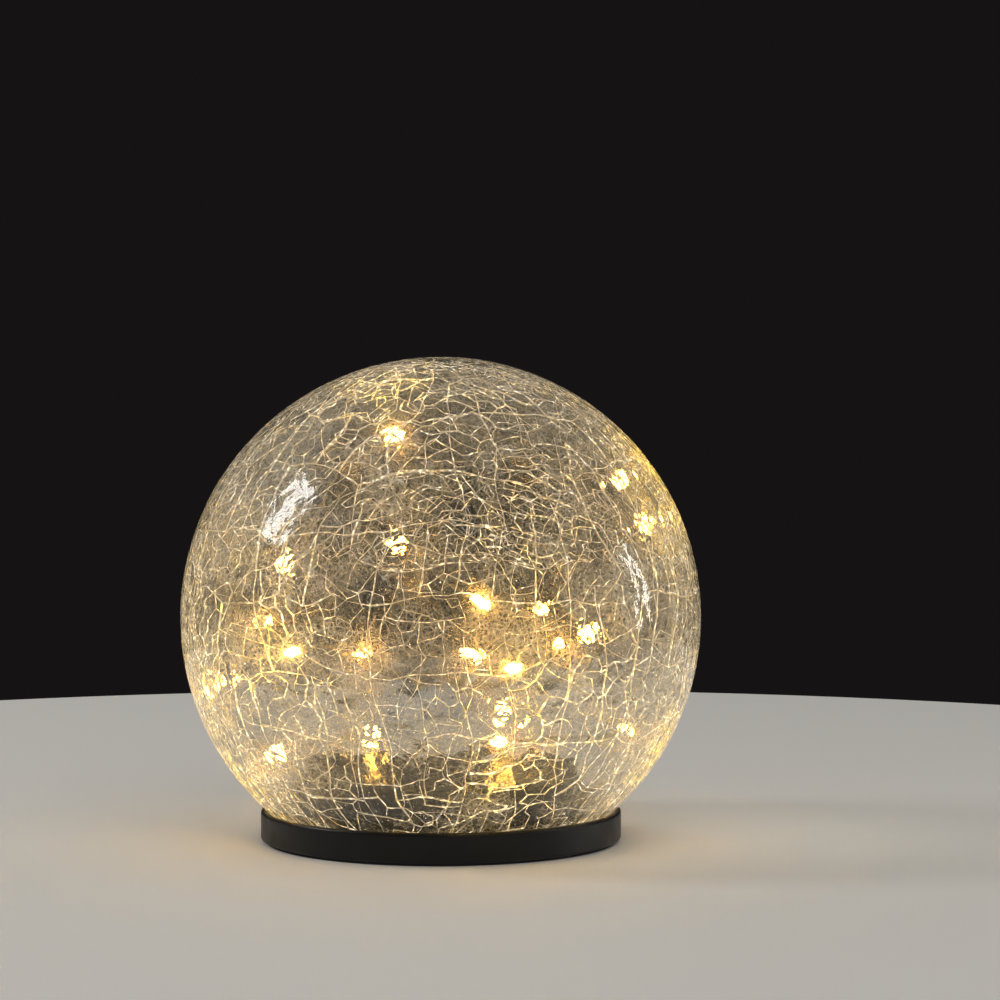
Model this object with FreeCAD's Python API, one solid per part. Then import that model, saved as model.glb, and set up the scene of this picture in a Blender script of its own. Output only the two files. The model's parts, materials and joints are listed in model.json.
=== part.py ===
"""Garden globe light: a crackle glass ball on a black battery base, with a string of small LEDs inside.

Millimetres. The origin is the centre of the footprint on the ground, +Z is up, and the front, where the
switch is, faces -Y. Each sub-part is written to parts/NODE.step.
"""

import FreeCAD
import Part

import math
import os

V = FreeCAD.Vector
UP = V(0, 0, 1)

# ---- globe and base ring -------------------------------------------------------------------------------
GLOBE_RADIUS = 75.0
GLASS_WALL = 2.5
OPENING_GAP = 1.0  # between the drum and the inside edge of the ball's ground opening
FOOT_PROUD = 0.8
FLOOR_THICK = 2.0
RIM_HEIGHT = 8.4  # from the base's underside to its top edge
RIM_WALL = 1.3
RIM_GAP = 0.2  # between the glass and the top of the rim
RIM_ROUND = 0.9
UNDERSIDE_ROUND = 0.7
SEAT_HEIGHT = 1.4
SEAL_THICK = 1.0
SEAL_WIDTH = 5.4
SLIP = 0.2  # everyday clearance between fixed pieces
BEAD_RISE = 2.2  # height of the silicone fillet between glass and rim

# ---- drum and cells ------------------------------------------------------------------------------------
DRUM_WALL = 1.6
DRUM_ROOF = 1.8
DRUM_ROUND = 1.4
DRUM_ROOM = 1.9  # lane for the leads between the cradle's corners and the drum's wall
CELL_RADIUS = 7.25
CELL_LENGTH = 49.5
NUB_RADIUS = 2.75
NUB_LENGTH = 1.0
CELL_GAP = 0.4  # between two cells
CELL_ROUND = 0.6
CELL_COUNT = 3
CELL_ABOVE_DOOR = 0.5
CELL_UNDER_ROOF = 0.2
CRADLE_WALL = 1.2
CRADLE_ROOF = 0.8
CRADLE_ROUND = 1.8
CELL_SIDE_GAP = 0.3
RIB_WIDTH = 2.0
RIB_DROP = 3.0

# ---- contacts ------------------------------------------------------------------------------------------
PLATE_THICK = 0.4
PLATE_HALF = 5.0
SPRING_RADIUS = 3.2
SPRING_WIRE = 0.7
SPRING_LENGTH = 3.2
SPRING_TURNS = 2
LEAD_RADIUS = 0.5
LEAD_UNDER_ROOF = 3.0
LEAD_PAD_X = 9.4
LEAD_PAD_BEHIND = 2.2  # from the middle of the board towards the cradle
LEAD_RUN_OUT = 5.0  # from the cradle's end wall to a lead's first turn
LEAD_APPROACH = 5.5  # from a lead's pad on the board to the bend before it
LEAD_DIP = 2.2  # from a lead's level down to the bend above its pad

# ---- battery door --------------------------------------------------------------------------------------
DOOR_GAP = 0.3
DOOR_MARGIN = 3.2  # opening beyond the cradle at the hinged end, which the tabs swing through
LATCH_MARGIN = 0.75  # opening beyond the cradle at the screwed end
DOOR_SIDE_MARGIN = 0.6
OPENING_ROUND_BACK = 4.0
OPENING_ROUND_FRONT = 1.3
GASKET_WIDTH = 1.6
TAB_WIDTH = 6.0
TAB_OFFSET = 6.0
TAB_REACH = 1.5
TAB_THICK = 1.2
TAB_CLEARANCE = 0.15
RISER_THICK = 1.2
TONGUE_WIDTH = 8.0
GRIP_GROOVES = 4
GRIP_GROOVE = (0.8, 14.0, 0.5)
GRIP_PITCH = 1.8
GRIP_INSET = 3.0  # from the latch end of the door to the first groove
PAD_MARGIN = 1.6
PAD_THICK = 2.0
DOOR_SCREW_INSET = 3.6  # from the tongue's end to the screw
DOOR_SCREW_RADIUS = 1.2
DOOR_SCREW_LENGTH = 6.0
DOOR_SCREW_HEAD = 2.6
DOOR_SCREW_HEAD_HEIGHT = 1.3
DOOR_SCREW_CLEARANCE = 0.3
INSERT_RADIUS = 2.1
INSERT_LENGTH = 4.0
INSERT_BOSS_WALL = 1.2
SCREW_SLOT = 0.6

# ---- screws that hold the drum -------------------------------------------------------------------------
POST_OFF_BOARD = 3.1  # from the board's end to a post
POST_PAD_OFF_OPENING = 0.6  # from the door opening to a post's pad
POST_RADIUS = 2.9
POST_CAP = 1.6  # closed end of a post above its screw
POST_PAD_RADIUS = 3.3
POST_PAD_GAP = 0.45  # from a pad to the drum's wall
POST_PAD_HEIGHT = 2.2
POST_WEB = 1.6
SCREW_RADIUS = 1.25
SCREW_BITE = 7.0
SCREW_HEAD_RADIUS = 2.3
SCREW_HEAD_HEIGHT = 1.5
THREAD_GAP = 0.03

# ---- driver board and switch ---------------------------------------------------------------------------
BOARD_WIDTH = 30.0
BOARD_DEPTH = 8.8
BOARD_THICK = 1.2
BOARD_OFF_CRADLE = 1.35
SWITCH_ABOVE_FLOOR = 1.0
BOARD_POST_INSET = 3.0  # from the board's end to the middle of its screw
BOARD_POST_RADIUS = 1.9
BOARD_SCREW_RADIUS = 0.8
BOARD_SCREW_HEAD = 1.6
BOARD_SCREW_LENGTH = 3.5
BOARD_SCREW_HEAD_HEIGHT = 1.0
CHIP_SIZE = (5.0, 3.8, 1.5)
CHIP_X = 1.5
CAPACITOR_RADIUS = 1.6
CAPACITOR_HEIGHT = 4.5
CAPACITOR_X = -6.5
RESISTOR_SIZE = (2.0, 1.2, 0.6)
RESISTOR_XS = (-2.8, 6.4)
SWITCH_SIZE = (9.0, 4.4, 4.2)
SWITCH_STEP = 2.0  # from one of the three positions to the next
SWITCH_LEVER = 1.6
LEVER_GAP = 0.15
LEVER_DEPTH = 1.4
KNOB_SIZE = (3.6, 4.4, 0.8)
KNOB_ABOVE_UNDERSIDE = 0.2
KNOB_ROOF_GAP = 0.2
KNOB_GROOVES = 3
KNOB_GROOVE = 0.4
RECESS_MARGIN = 1.8

# ---- feet ----------------------------------------------------------------------------------------------
FOOT_RADIUS = 4.0
FOOT_SUNK = 1.0
FOOT_FROM_EDGE = 6.0
FOOT_COUNT = 4
FOOT_ROUND = 0.3

# ---- string of lights ----------------------------------------------------------------------------------
WIRE_RADIUS = 0.35
EXIT_X = 9.0
EXIT_BEHIND = 1.0  # from the middle of the board towards the front
EXIT_RUN = 11.0  # straight wire above the drum before the first bend
GROMMET_BODY = 1.9
GROMMET_FLANGE = 3.1
GROMMET_RISE = 1.2
GROMMET_GAP = 0.05
BULB_LENGTH = 5.4
BULB_RADIUS = 1.55
BULB_TIP = 0.75
BULB_BORE_GAP = 0.06
DIE_SIZE = (1.6, 0.8, 0.5)
HANDLE_SHARE = 0.25  # how far the wire runs straight each side of an LED, as a share of the way to the next
HANDLE_CAP = 0.42
ARC_SHARE = 0.45
SPARE_AT_END = 9.0  # wire past the last LED
# Each LED along the wire: compass angle from +X in degrees, then its height as a share of the way from the
# drum's top to the top of the glass, then its distance from the axis as a share of the room at that height.
LED_SPOTS = (
    (-72.0, 0.1177, 0.7667),
    (-13.0, 0.1074, 0.8266),
    (68.0, 0.0944, 0.8038),
    (115.0, 0.0405, 0.7975),
    (-165.5, 0.0473, 0.7888),
    (172.5, 0.2086, 0.9253),
    (-129.0, 0.3316, 0.889),
    (-138.0, 0.3048, 0.4212),
    (-31.0, 0.2877, 0.1391),
    (-71.0, 0.2979, 0.8384),
    (-42.5, 0.3311, 0.6151),
    (24.5, 0.32, 0.6653),
    (-19.0, 0.4035, 0.419),
    (-78.3, 0.451, 0.7378),
    (-157.0, 0.5578, 0.1829),
    (143.0, 0.4858, 0.8145),
    (-158.0, 0.3835, 0.7324),
    (-118.0, 0.8274, 0.5628),
    (-5.6, 0.714, 0.8338),
    (14.0, 0.6012, 0.9236),
)

# ---- heights, lengths and radii that follow --------------------------------------------------------------
underside_z = FOOT_PROUD
floor_z = underside_z + FLOOR_THICK
rim_z = underside_z + RIM_HEIGHT
seat_z = floor_z + SEAT_HEIGHT
glass_edge_z = seat_z + SEAL_THICK
inner_radius = GLOBE_RADIUS - GLASS_WALL

cell_pitch = 2 * CELL_RADIUS + CELL_GAP
bay_half = (CELL_LENGTH + NUB_LENGTH + SPRING_LENGTH) / 2 + PLATE_THICK
bay_side = cell_pitch * (CELL_COUNT - 1) / 2 + CELL_RADIUS + CELL_SIDE_GAP
cradle_x = bay_half + CRADLE_WALL
cradle_y = bay_side + CRADLE_WALL
cradle_reach = math.hypot(cradle_x, cradle_y)
cradle_angle = math.degrees(math.atan2(cradle_y, cradle_x))
opening_back_x = -(cradle_x + DOOR_MARGIN)
opening_front_x = cradle_x + LATCH_MARGIN
opening_y = cradle_y + DOOR_SIDE_MARGIN
post_x = BOARD_WIDTH / 2 + POST_OFF_BOARD + POST_RADIUS
post_y = opening_y + POST_PAD_RADIUS + POST_PAD_OFF_OPENING
board_post_x = BOARD_WIDTH / 2 - BOARD_POST_INSET
drum_inner = max(cradle_reach + DRUM_ROOM, math.hypot(post_x, post_y) + POST_PAD_RADIUS + POST_PAD_GAP)
lane = (drum_inner + cradle_reach) / 2
drum_radius = drum_inner + DRUM_WALL
opening_radius = drum_radius + OPENING_GAP
globe_z = glass_edge_z + math.sqrt(inner_radius**2 - opening_radius**2)


def glass_radius_at(z, outside=0.0):
    """Radius at height z of the ball's outside, or of a surface further out by outside."""
    return math.sqrt((GLOBE_RADIUS + outside) ** 2 - (globe_z - z) ** 2)


rim_inner = glass_radius_at(rim_z) + RIM_GAP
base_radius = rim_inner + RIM_WALL
seat_inner = drum_radius + SLIP
seat_outer = seat_inner + SEAL_WIDTH
cell_z = floor_z + CELL_ABOVE_DOOR + CELL_RADIUS
cradle_roof_z = cell_z + CELL_RADIUS + CELL_UNDER_ROOF
drum_roof_z = cradle_roof_z + CRADLE_ROOF
drum_top_z = drum_roof_z + DRUM_ROOF
lead_z = drum_roof_z - LEAD_UNDER_ROOF
gasket_z = floor_z + CELL_ABOVE_DOOR + SLIP / 2

latch_pad_y = TONGUE_WIDTH / 2 + PAD_MARGIN
latch_pad_end_x = math.sqrt(drum_inner**2 - latch_pad_y**2) - DOOR_GAP
tongue_end_x = latch_pad_end_x - PAD_MARGIN - DOOR_GAP
door_screw_x = tongue_end_x - DOOR_SCREW_INSET
latch_pad_z = floor_z + PAD_THICK
tongue_top_z = floor_z + SLIP / 2

post_foot_z = floor_z + POST_PAD_HEIGHT
post_top_z = post_foot_z + SCREW_BITE + POST_CAP

switch_bottom_z = floor_z + SWITCH_ABOVE_FLOOR
board_z = switch_bottom_z + SWITCH_SIZE[2]
board_top_z = board_z + BOARD_THICK
board_y = -(cradle_y + BOARD_OFF_CRADLE + BOARD_DEPTH / 2)
knob_z = underside_z + KNOB_ABOVE_UNDERSIDE
recess_z = knob_z + KNOB_SIZE[2] + KNOB_ROOF_GAP
wire_exit = (EXIT_X, board_y - EXIT_BEHIND)


# ---- small makers --------------------------------------------------------------------------------------
def block(x0, x1, y0, y1, z0, z1):
    """A box between two corners."""
    return Part.makeBox(x1 - x0, y1 - y0, z1 - z0, V(x0, y0, z0))


def rod(radius, z0, z1, x=0.0, y=0.0):
    """An upright cylinder."""
    return Part.makeCylinder(radius, z1 - z0, V(x, y, z0), UP)


def ring(inner, outer, z0, z1):
    """An upright tube about the Z axis."""
    return rod(outer, z0, z1).cut(rod(inner, z0, z1))


def edges_at(solid, test):
    """The solid's edges whose middle point passes the test."""
    found = []
    for edge in solid.Edges:
        middle = edge.valueAt((edge.FirstParameter + edge.LastParameter) / 2)
        if test(middle):
            found.append(edge)
    return found


def upright_edges(solid):
    """The solid's straight edges along Z."""
    found = []
    for edge in solid.Edges:
        if len(edge.Vertexes) == 2:
            a, b = (v.Point for v in edge.Vertexes)
            if abs(a.x - b.x) < 1e-6 and abs(a.y - b.y) < 1e-6:
                found.append(edge)
    return found


def revolve(edges):
    """A full turn about Z of a closed profile drawn in the XZ plane."""
    face = Part.Face(Part.Wire(edges))
    return face.revolve(V(0, 0, 0), UP, 360)


def line(a, b):
    """A straight profile edge between two (radius, height) points."""
    return Part.makeLine(V(a[0], 0, a[1]), V(b[0], 0, b[1]))


def arc(a, middle, b):
    """A round profile edge through three (radius, height) points."""
    return Part.Arc(*(V(p[0], 0, p[1]) for p in (a, middle, b))).toShape()


def rounded_route(points, lead_in):
    """A wire of straight runs joined by tangent arcs, each as large as its two runs allow, and the radii.

    The wire starts lead_in before the first point, so a long straight stretch doesn't count in its arc."""
    edges, radii = [], []
    start = points[0] - (points[1] - points[0]).normalize() * lead_in
    for before, corner, after in zip(points, points[1:], points[2:]):
        back = (before - corner).normalize()
        ahead = (after - corner).normalize()
        turn = math.pi - back.getAngle(ahead)
        run = min((corner - before).Length, (after - corner).Length)
        trim = run * ARC_SHARE
        radius = trim / math.tan(turn / 2)
        radii.append(radius)
        arc_start = corner + back * trim
        arc_end = corner + ahead * trim
        inwards = (back + ahead).normalize()
        middle = corner + inwards * (radius / math.cos(turn / 2) - radius)
        edges.append(Part.LineSegment(start, arc_start).toShape())
        edges.append(Part.Arc(arc_start, middle, arc_end).toShape())
        start = arc_end
    edges.append(Part.LineSegment(start, points[-1]).toShape())
    return Part.Wire(edges), radii


def tube(points, radius, lead_in=0.0):
    """A round wire or lead along a route."""
    path, _ = rounded_route(points, lead_in)
    section = Part.Wire(Part.makeCircle(radius, path.Edges[0].valueAt(0), points[1] - points[0]))
    return path.makePipeShell([section], True, False)


def report_route(name, points, solid, radius, lead_in=0.0):
    """Prints a route's length, its tube's volume beside section times length, its runs and its radii."""
    path, radii = rounded_route(points, lead_in)
    runs = [round((b - a).Length, 1) for a, b in zip(points, points[1:])]
    whole = math.pi * radius**2 * path.Length
    print(f"{name}: {path.Length:.0f} mm, volume {solid.Volume:.2f} against {whole:.2f}")
    print("  runs", runs)
    print("  radii", [round(r, 1) for r in radii])


def save(name, *solids):
    """Writes one node, as one solid or as a group of separate ones."""
    shape = solids[0] if len(solids) == 1 else Part.makeCompound(list(solids))
    shape.exportStep(f"parts/{name}.step")


# ---- globe ---------------------------------------------------------------------------------------------
def glass_globe():
    """The blown ball: two concentric spheres, ground flat where it enters the base."""
    centre = V(0, 0, globe_z)
    shell = Part.makeSphere(GLOBE_RADIUS, centre).cut(Part.makeSphere(inner_radius, centre))
    reach = GLOBE_RADIUS + 1
    return shell.cut(rod(reach, globe_z - reach, glass_edge_z))


def glass_seal():
    """Flat silicone ring between the ball's ground edge and its seat."""
    return ring(seat_inner, seat_outer, seat_z, glass_edge_z)


def silicone_bead():
    """Sealant that fills the corner between the ball and the rim, above the seal."""
    low = glass_edge_z + SLIP / 4
    high = low + BEAD_RISE
    skin = SLIP / 4
    glass = [(glass_radius_at(z, skin), z) for z in (low, (low + high) / 2, high)]
    wall = rim_inner - skin
    return revolve(
        [
            arc(*glass),
            line(glass[2], (wall, high)),
            line((wall, high), (wall, low)),
            line((wall, low), glass[0]),
        ]
    )


# ---- base tray -----------------------------------------------------------------------------------------
def post_spots():
    """Where the drum's four screws stand."""
    return [(side_x * post_x, side_y * post_y) for side_x in (-1, 1) for side_y in (-1, 1)]


def foot_spots():
    """Where the rubber feet sit."""
    reach = base_radius - FOOT_FROM_EDGE
    angles = [math.radians(45 + 360 / FOOT_COUNT * i) for i in range(FOOT_COUNT)]
    return [(reach * math.cos(a), reach * math.sin(a)) for a in angles]


def knob_slot():
    """Cut-outs in the tray for the switch's knob: a finger recess and the lever's slot through it."""
    half_x = KNOB_SIZE[0] / 2 + SWITCH_STEP + RECESS_MARGIN
    half_y = KNOB_SIZE[1] / 2 + SLIP
    recess = block(-half_x, half_x, board_y - half_y, board_y + half_y, underside_z, recess_z)
    slot_x = SWITCH_LEVER / 2 + SWITCH_STEP + 2 * LEVER_GAP
    slot_y = SWITCH_LEVER / 2 + 2 * LEVER_GAP
    slot = block(-slot_x, slot_x, board_y - slot_y, board_y + slot_y, underside_z, floor_z)
    return recess.fuse(slot)


def door_plate(gap):
    """The door opening's outline as a plate through the tray's floor, smaller all round by gap."""
    back, front, side = opening_back_x + gap, opening_front_x - gap, opening_y - gap
    plate = block(back, front, -side, side, underside_z, floor_z)
    corners = upright_edges(plate)
    plate = plate.makeFillet(OPENING_ROUND_BACK - gap, [e for e in corners if e.valueAt(0).x < 0])
    corners = [e for e in upright_edges(plate) if e.valueAt(0).x > front - 1e-6]
    return plate.makeFillet(OPENING_ROUND_FRONT - gap, corners)


def base_tray():
    """The black dish the ball stands in: rim, glass seat, door opening, bosses and foot pockets."""
    tray = rod(base_radius, underside_z, rim_z)
    outer = edges_at(tray, lambda p: p.z > rim_z - 1e-6)
    tray = tray.makeFillet(RIM_ROUND, outer)
    lower = edges_at(tray, lambda p: p.z < underside_z + 1e-6)
    tray = tray.makeFillet(UNDERSIDE_ROUND, lower)
    tray = tray.cut(rod(rim_inner, floor_z, rim_z))
    tray = tray.fuse(ring(seat_inner, seat_outer, floor_z, seat_z))

    latch_pad = block(opening_front_x, latch_pad_end_x, -latch_pad_y, latch_pad_y, floor_z, latch_pad_z)
    boss = rod(INSERT_RADIUS + INSERT_BOSS_WALL, floor_z, latch_pad_z + INSERT_LENGTH, door_screw_x)
    tray = tray.fuse(latch_pad).fuse(boss)
    for x, y in post_spots():
        tray = tray.fuse(rod(POST_PAD_RADIUS, floor_z, post_foot_z, x, y))
    for side in (-1, 1):
        post = rod(BOARD_POST_RADIUS, floor_z, board_z, side * board_post_x, board_y)
        tray = tray.fuse(post)

    tray = tray.cut(door_plate(0))
    notch_y = TONGUE_WIDTH / 2 + DOOR_GAP
    notch_end = tongue_end_x + DOOR_GAP
    tray = tray.cut(block(opening_front_x, notch_end, -notch_y, notch_y, underside_z, tongue_top_z))
    tray = tray.cut(rod(INSERT_RADIUS, tongue_top_z, latch_pad_z + INSERT_LENGTH, door_screw_x))
    for x, y in post_spots():
        head_top = underside_z + SCREW_HEAD_HEIGHT + SLIP
        tray = tray.cut(rod(SCREW_HEAD_RADIUS + SLIP, underside_z, head_top, x, y))
        tray = tray.cut(rod(SCREW_RADIUS + SLIP, underside_z, post_foot_z, x, y))
    for side in (-1, 1):
        hole = BOARD_SCREW_RADIUS + THREAD_GAP
        deep = board_z - BOARD_SCREW_LENGTH + BOARD_THICK - SLIP
        tray = tray.cut(rod(hole, deep, board_z, side * board_post_x, board_y))
    for x, y in foot_spots():
        tray = tray.cut(rod(FOOT_RADIUS, underside_z, underside_z + FOOT_SUNK, x, y))
    return tray.cut(knob_slot()).removeSplitter()


def rubber_foot(x, y):
    """A round pad pressed into its pocket."""
    pad = rod(FOOT_RADIUS, 0, underside_z + FOOT_SUNK, x, y)
    return pad.makeFillet(FOOT_ROUND, edges_at(pad, lambda p: p.z < 1e-6))


# ---- drum, cradle and cells ----------------------------------------------------------------------------
def battery_drum():
    """The raised housing inside the ball: a cup turned over, with screw posts and the wire's hole."""
    drum = rod(drum_radius, floor_z, drum_top_z)
    drum = drum.makeFillet(DRUM_ROUND, edges_at(drum, lambda p: p.z > drum_top_z - 1e-6))
    drum = drum.cut(rod(drum_inner, floor_z, drum_roof_z))
    for x, y in post_spots():
        drum = drum.fuse(rod(POST_RADIUS, post_foot_z, post_top_z, x, y))
        reach = drum_inner - math.hypot(x, y) + SLIP
        web = block(0, reach, -POST_WEB / 2, POST_WEB / 2, post_foot_z, post_top_z)
        web.rotate(V(0, 0, 0), UP, math.degrees(math.atan2(y, x)))
        web.translate(V(x, y, 0))
        drum = drum.fuse(web)
    for x, y in post_spots():
        pilot_top = post_foot_z + SCREW_BITE + SLIP
        drum = drum.cut(rod(SCREW_RADIUS + THREAD_GAP, post_foot_z, pilot_top, x, y))
    exit_hole = rod(GROMMET_BODY + GROMMET_GAP, drum_roof_z, drum_top_z, *wire_exit)
    return drum.cut(exit_hole).removeSplitter()


def cell_sides():
    """Each cell's Y and which way its positive end points."""
    first = -cell_pitch * (CELL_COUNT - 1) / 2
    return [(first + cell_pitch * i, 1 if i % 2 == 0 else -1) for i in range(CELL_COUNT)]


def lead_holes():
    """Holes in the cradle's end walls where the two leads reach their plates."""
    cells = cell_sides()
    ends = ((cells[0][0], 1), (cells[-1][0], -1))
    return [(y - math.copysign(PLATE_HALF / 2, y), side) for y, side in ends]


def battery_cradle():
    """Open-bottomed box round the cells, with a roof and ribs between the cells."""
    box = block(-cradle_x, cradle_x, -cradle_y, cradle_y, gasket_z, drum_roof_z)
    box = box.makeFillet(CRADLE_ROUND, upright_edges(box))
    box = box.cut(block(-bay_half, bay_half, -bay_side, bay_side, gasket_z, cradle_roof_z))
    for i in range(CELL_COUNT - 1):
        y = cell_sides()[i][0] + cell_pitch / 2
        rib_half = bay_half - PLATE_THICK - SPRING_LENGTH
        low = cradle_roof_z - RIB_DROP
        box = box.fuse(block(-rib_half, rib_half, y - RIB_WIDTH / 2, y + RIB_WIDTH / 2, low, cradle_roof_z))
    for y, side in lead_holes():
        inside = V(side * bay_half, y, lead_z)
        box = box.cut(Part.makeCylinder(LEAD_RADIUS + SLIP, CRADLE_WALL, inside, V(side, 0, 0)))
    return box.removeSplitter()


def battery_cell(y, side):
    """One AA cell lying along X, its positive nub towards side."""
    negative_end = -side * (bay_half - PLATE_THICK - SPRING_LENGTH)
    can = Part.makeCylinder(CELL_RADIUS, CELL_LENGTH, V(negative_end, y, cell_z), V(side, 0, 0))
    rims = [e for e in can.Edges if e.Closed]
    can = can.makeFillet(CELL_ROUND, rims)
    nub_x = negative_end + side * CELL_LENGTH
    nub = Part.makeCylinder(NUB_RADIUS, NUB_LENGTH, V(nub_x, y, cell_z), V(side, 0, 0))
    return can.fuse(nub).removeSplitter()


def spring_point(turns, pitch):
    """A point on a spring's centre line, that many turns from its start."""
    angle = 2 * math.pi * turns
    height = SPRING_WIRE / 2 + pitch * turns
    return V(SPRING_RADIUS * math.cos(angle), SPRING_RADIUS * math.sin(angle), height)


def contact_spring(y, side):
    """The coil that presses on a cell's flat end, made a quarter turn at a time."""
    pitch = (SPRING_LENGTH - SPRING_WIRE) / SPRING_TURNS
    arcs = []
    for quarter in range(SPRING_TURNS * 4):
        points = [spring_point((quarter + step) / 4, pitch) for step in (0, 0.5, 1)]
        arcs.append(Part.Arc(*points).toShape())
    section = Part.Wire(Part.makeCircle(SPRING_WIRE / 2, spring_point(0, pitch), V(0, 1, 0)))
    coil = Part.Wire(arcs).makePipeShell([section], True, False)
    coil.rotate(V(0, 0, 0), V(0, 1, 0), 90 * side)
    coil.translate(V(-side * (bay_half - PLATE_THICK), y, cell_z))
    return coil


def contact_plate(side, y0, y1):
    """A sprung-steel plate on the cradle's end wall, from y0 to y1."""
    x = side * bay_half
    inner = x - side * PLATE_THICK
    low, high = cell_z - PLATE_HALF, cradle_roof_z - SLIP
    return block(min(x, inner), max(x, inner), y0, y1, low, high)


def contact_plates():
    """Name and shape of each plate: a terminal at each end of the chain and the bridges between."""
    cells = cell_sides()
    first, last = cells[0], cells[-1]
    plates = {
        "contact_positive": contact_plate(first[1], first[0] - PLATE_HALF, first[0] + PLATE_HALF),
        "contact_negative": contact_plate(-last[1], last[0] - PLATE_HALF, last[0] + PLATE_HALF),
    }
    for i in range(CELL_COUNT - 1):
        here, there = cells[i], cells[i + 1]
        plate = contact_plate(-here[1], here[0] - PLATE_HALF, there[0] + PLATE_HALF)
        plates[f"contact_bridge_{i + 1}"] = plate
    return plates


# ---- battery door --------------------------------------------------------------------------------------
def battery_door():
    """The lid under the cells: a plate with two tabs at one end and a screwed tongue at the other."""
    back = opening_back_x + DOOR_GAP
    front = opening_front_x - DOOR_GAP
    tongue_y = TONGUE_WIDTH / 2
    door = door_plate(DOOR_GAP).fuse(block(0, tongue_end_x, -tongue_y, tongue_y, underside_z, floor_z))
    door = door.removeSplitter()
    riser_x = back + RISER_THICK
    tab_z = floor_z + TAB_CLEARANCE
    for y in (-TAB_OFFSET, TAB_OFFSET):
        y0, y1 = y - TAB_WIDTH / 2, y + TAB_WIDTH / 2
        door = door.fuse(block(back, riser_x, y0, y1, floor_z, tab_z + TAB_THICK))
        door = door.fuse(block(opening_back_x - TAB_REACH, riser_x, y0, y1, tab_z, tab_z + TAB_THICK))
    width, length, deep = GRIP_GROOVE
    for i in range(GRIP_GROOVES):
        x = front - GRIP_INSET - i * GRIP_PITCH
        door = door.cut(block(x - width, x, -length / 2, length / 2, underside_z, underside_z + deep))
    door = door.cut(rod(DOOR_SCREW_RADIUS + SLIP, underside_z, floor_z, door_screw_x))
    sink = Part.makeCone(
        DOOR_SCREW_HEAD + SLIP / 2,
        DOOR_SCREW_RADIUS + SLIP / 2,
        DOOR_SCREW_HEAD_HEIGHT,
        V(door_screw_x, 0, underside_z),
        UP,
    )
    return door.cut(sink).removeSplitter()


def door_gasket():
    """Foam frame on the door that seals against the cradle's lower edge."""
    gasket = block(-cradle_x, cradle_x, -cradle_y, cradle_y, floor_z, gasket_z)
    inner_x, inner_y = cradle_x - GASKET_WIDTH, cradle_y - GASKET_WIDTH
    return gasket.cut(block(-inner_x, inner_x, -inner_y, inner_y, floor_z, gasket_z))


def door_screw():
    """Countersunk machine screw, captive in the door's tongue."""
    head = Part.makeCone(
        DOOR_SCREW_HEAD, DOOR_SCREW_RADIUS, DOOR_SCREW_HEAD_HEIGHT, V(door_screw_x, 0, underside_z), UP
    )
    shank = rod(DOOR_SCREW_RADIUS, underside_z, underside_z + DOOR_SCREW_LENGTH, door_screw_x)
    return cross_slots(head.fuse(shank), door_screw_x, 0, DOOR_SCREW_HEAD)


def cross_slots(screw, x, y, head_radius):
    """The screw with a cross recess in the head, which faces down."""
    reach = head_radius * 0.6
    half = SCREW_SLOT / 2
    deep = underside_z + SCREW_SLOT
    slots = block(x - reach, x + reach, y - half, y + half, underside_z, deep)
    slots = slots.fuse(block(x - half, x + half, y - reach, y + reach, underside_z, deep))
    return screw.cut(slots)


def door_insert():
    """Brass nut pressed into the tray's boss for the door screw."""
    bore = DOOR_SCREW_RADIUS + DOOR_SCREW_CLEARANCE
    top = latch_pad_z + INSERT_LENGTH
    return rod(INSERT_RADIUS, latch_pad_z, top, door_screw_x).cut(rod(bore, latch_pad_z, top, door_screw_x))


def housing_screw(x, y):
    """Pan-head screw from under the tray into a drum post."""
    head = rod(SCREW_HEAD_RADIUS, underside_z, underside_z + SCREW_HEAD_HEIGHT, x, y)
    shank = rod(SCREW_RADIUS, underside_z, post_foot_z + SCREW_BITE, x, y)
    return cross_slots(head.fuse(shank), x, y, SCREW_HEAD_RADIUS)


# ---- electronics ---------------------------------------------------------------------------------------
def driver_board():
    """Circuit board on its two posts, with holes for its screws and the string's wire."""
    half_x, half_y = BOARD_WIDTH / 2, BOARD_DEPTH / 2
    board = block(-half_x, half_x, board_y - half_y, board_y + half_y, board_z, board_top_z)
    hole = BOARD_SCREW_RADIUS + SLIP
    for side in (-1, 1):
        board = board.cut(rod(hole, board_z, board_top_z, side * board_post_x, board_y))
    return board


def on_board(size, x):
    """A box-shaped component on top of the board."""
    x0, y0 = x - size[0] / 2, board_y - size[1] / 2
    return block(x0, x0 + size[0], y0, y0 + size[1], board_top_z, board_top_z + size[2])


def board_screw(x):
    """Small screw that holds the board on its post."""
    head = rod(BOARD_SCREW_HEAD, board_top_z, board_top_z + BOARD_SCREW_HEAD_HEIGHT, x, board_y)
    return head.fuse(rod(BOARD_SCREW_RADIUS, board_top_z - BOARD_SCREW_LENGTH, board_top_z, x, board_y))


def slide_switch():
    """Three-position switch under the board, open below for its lever."""
    x, y = SWITCH_SIZE[0] / 2, SWITCH_SIZE[1] / 2
    body = block(-x, x, board_y - y, board_y + y, switch_bottom_z, board_z)
    slot_x = SWITCH_LEVER / 2 + SWITCH_STEP + LEVER_GAP
    slot_y = SWITCH_LEVER / 2 + LEVER_GAP
    top = switch_bottom_z + LEVER_DEPTH + LEVER_GAP
    return body.cut(block(-slot_x, slot_x, board_y - slot_y, board_y + slot_y, switch_bottom_z, top))


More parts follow.
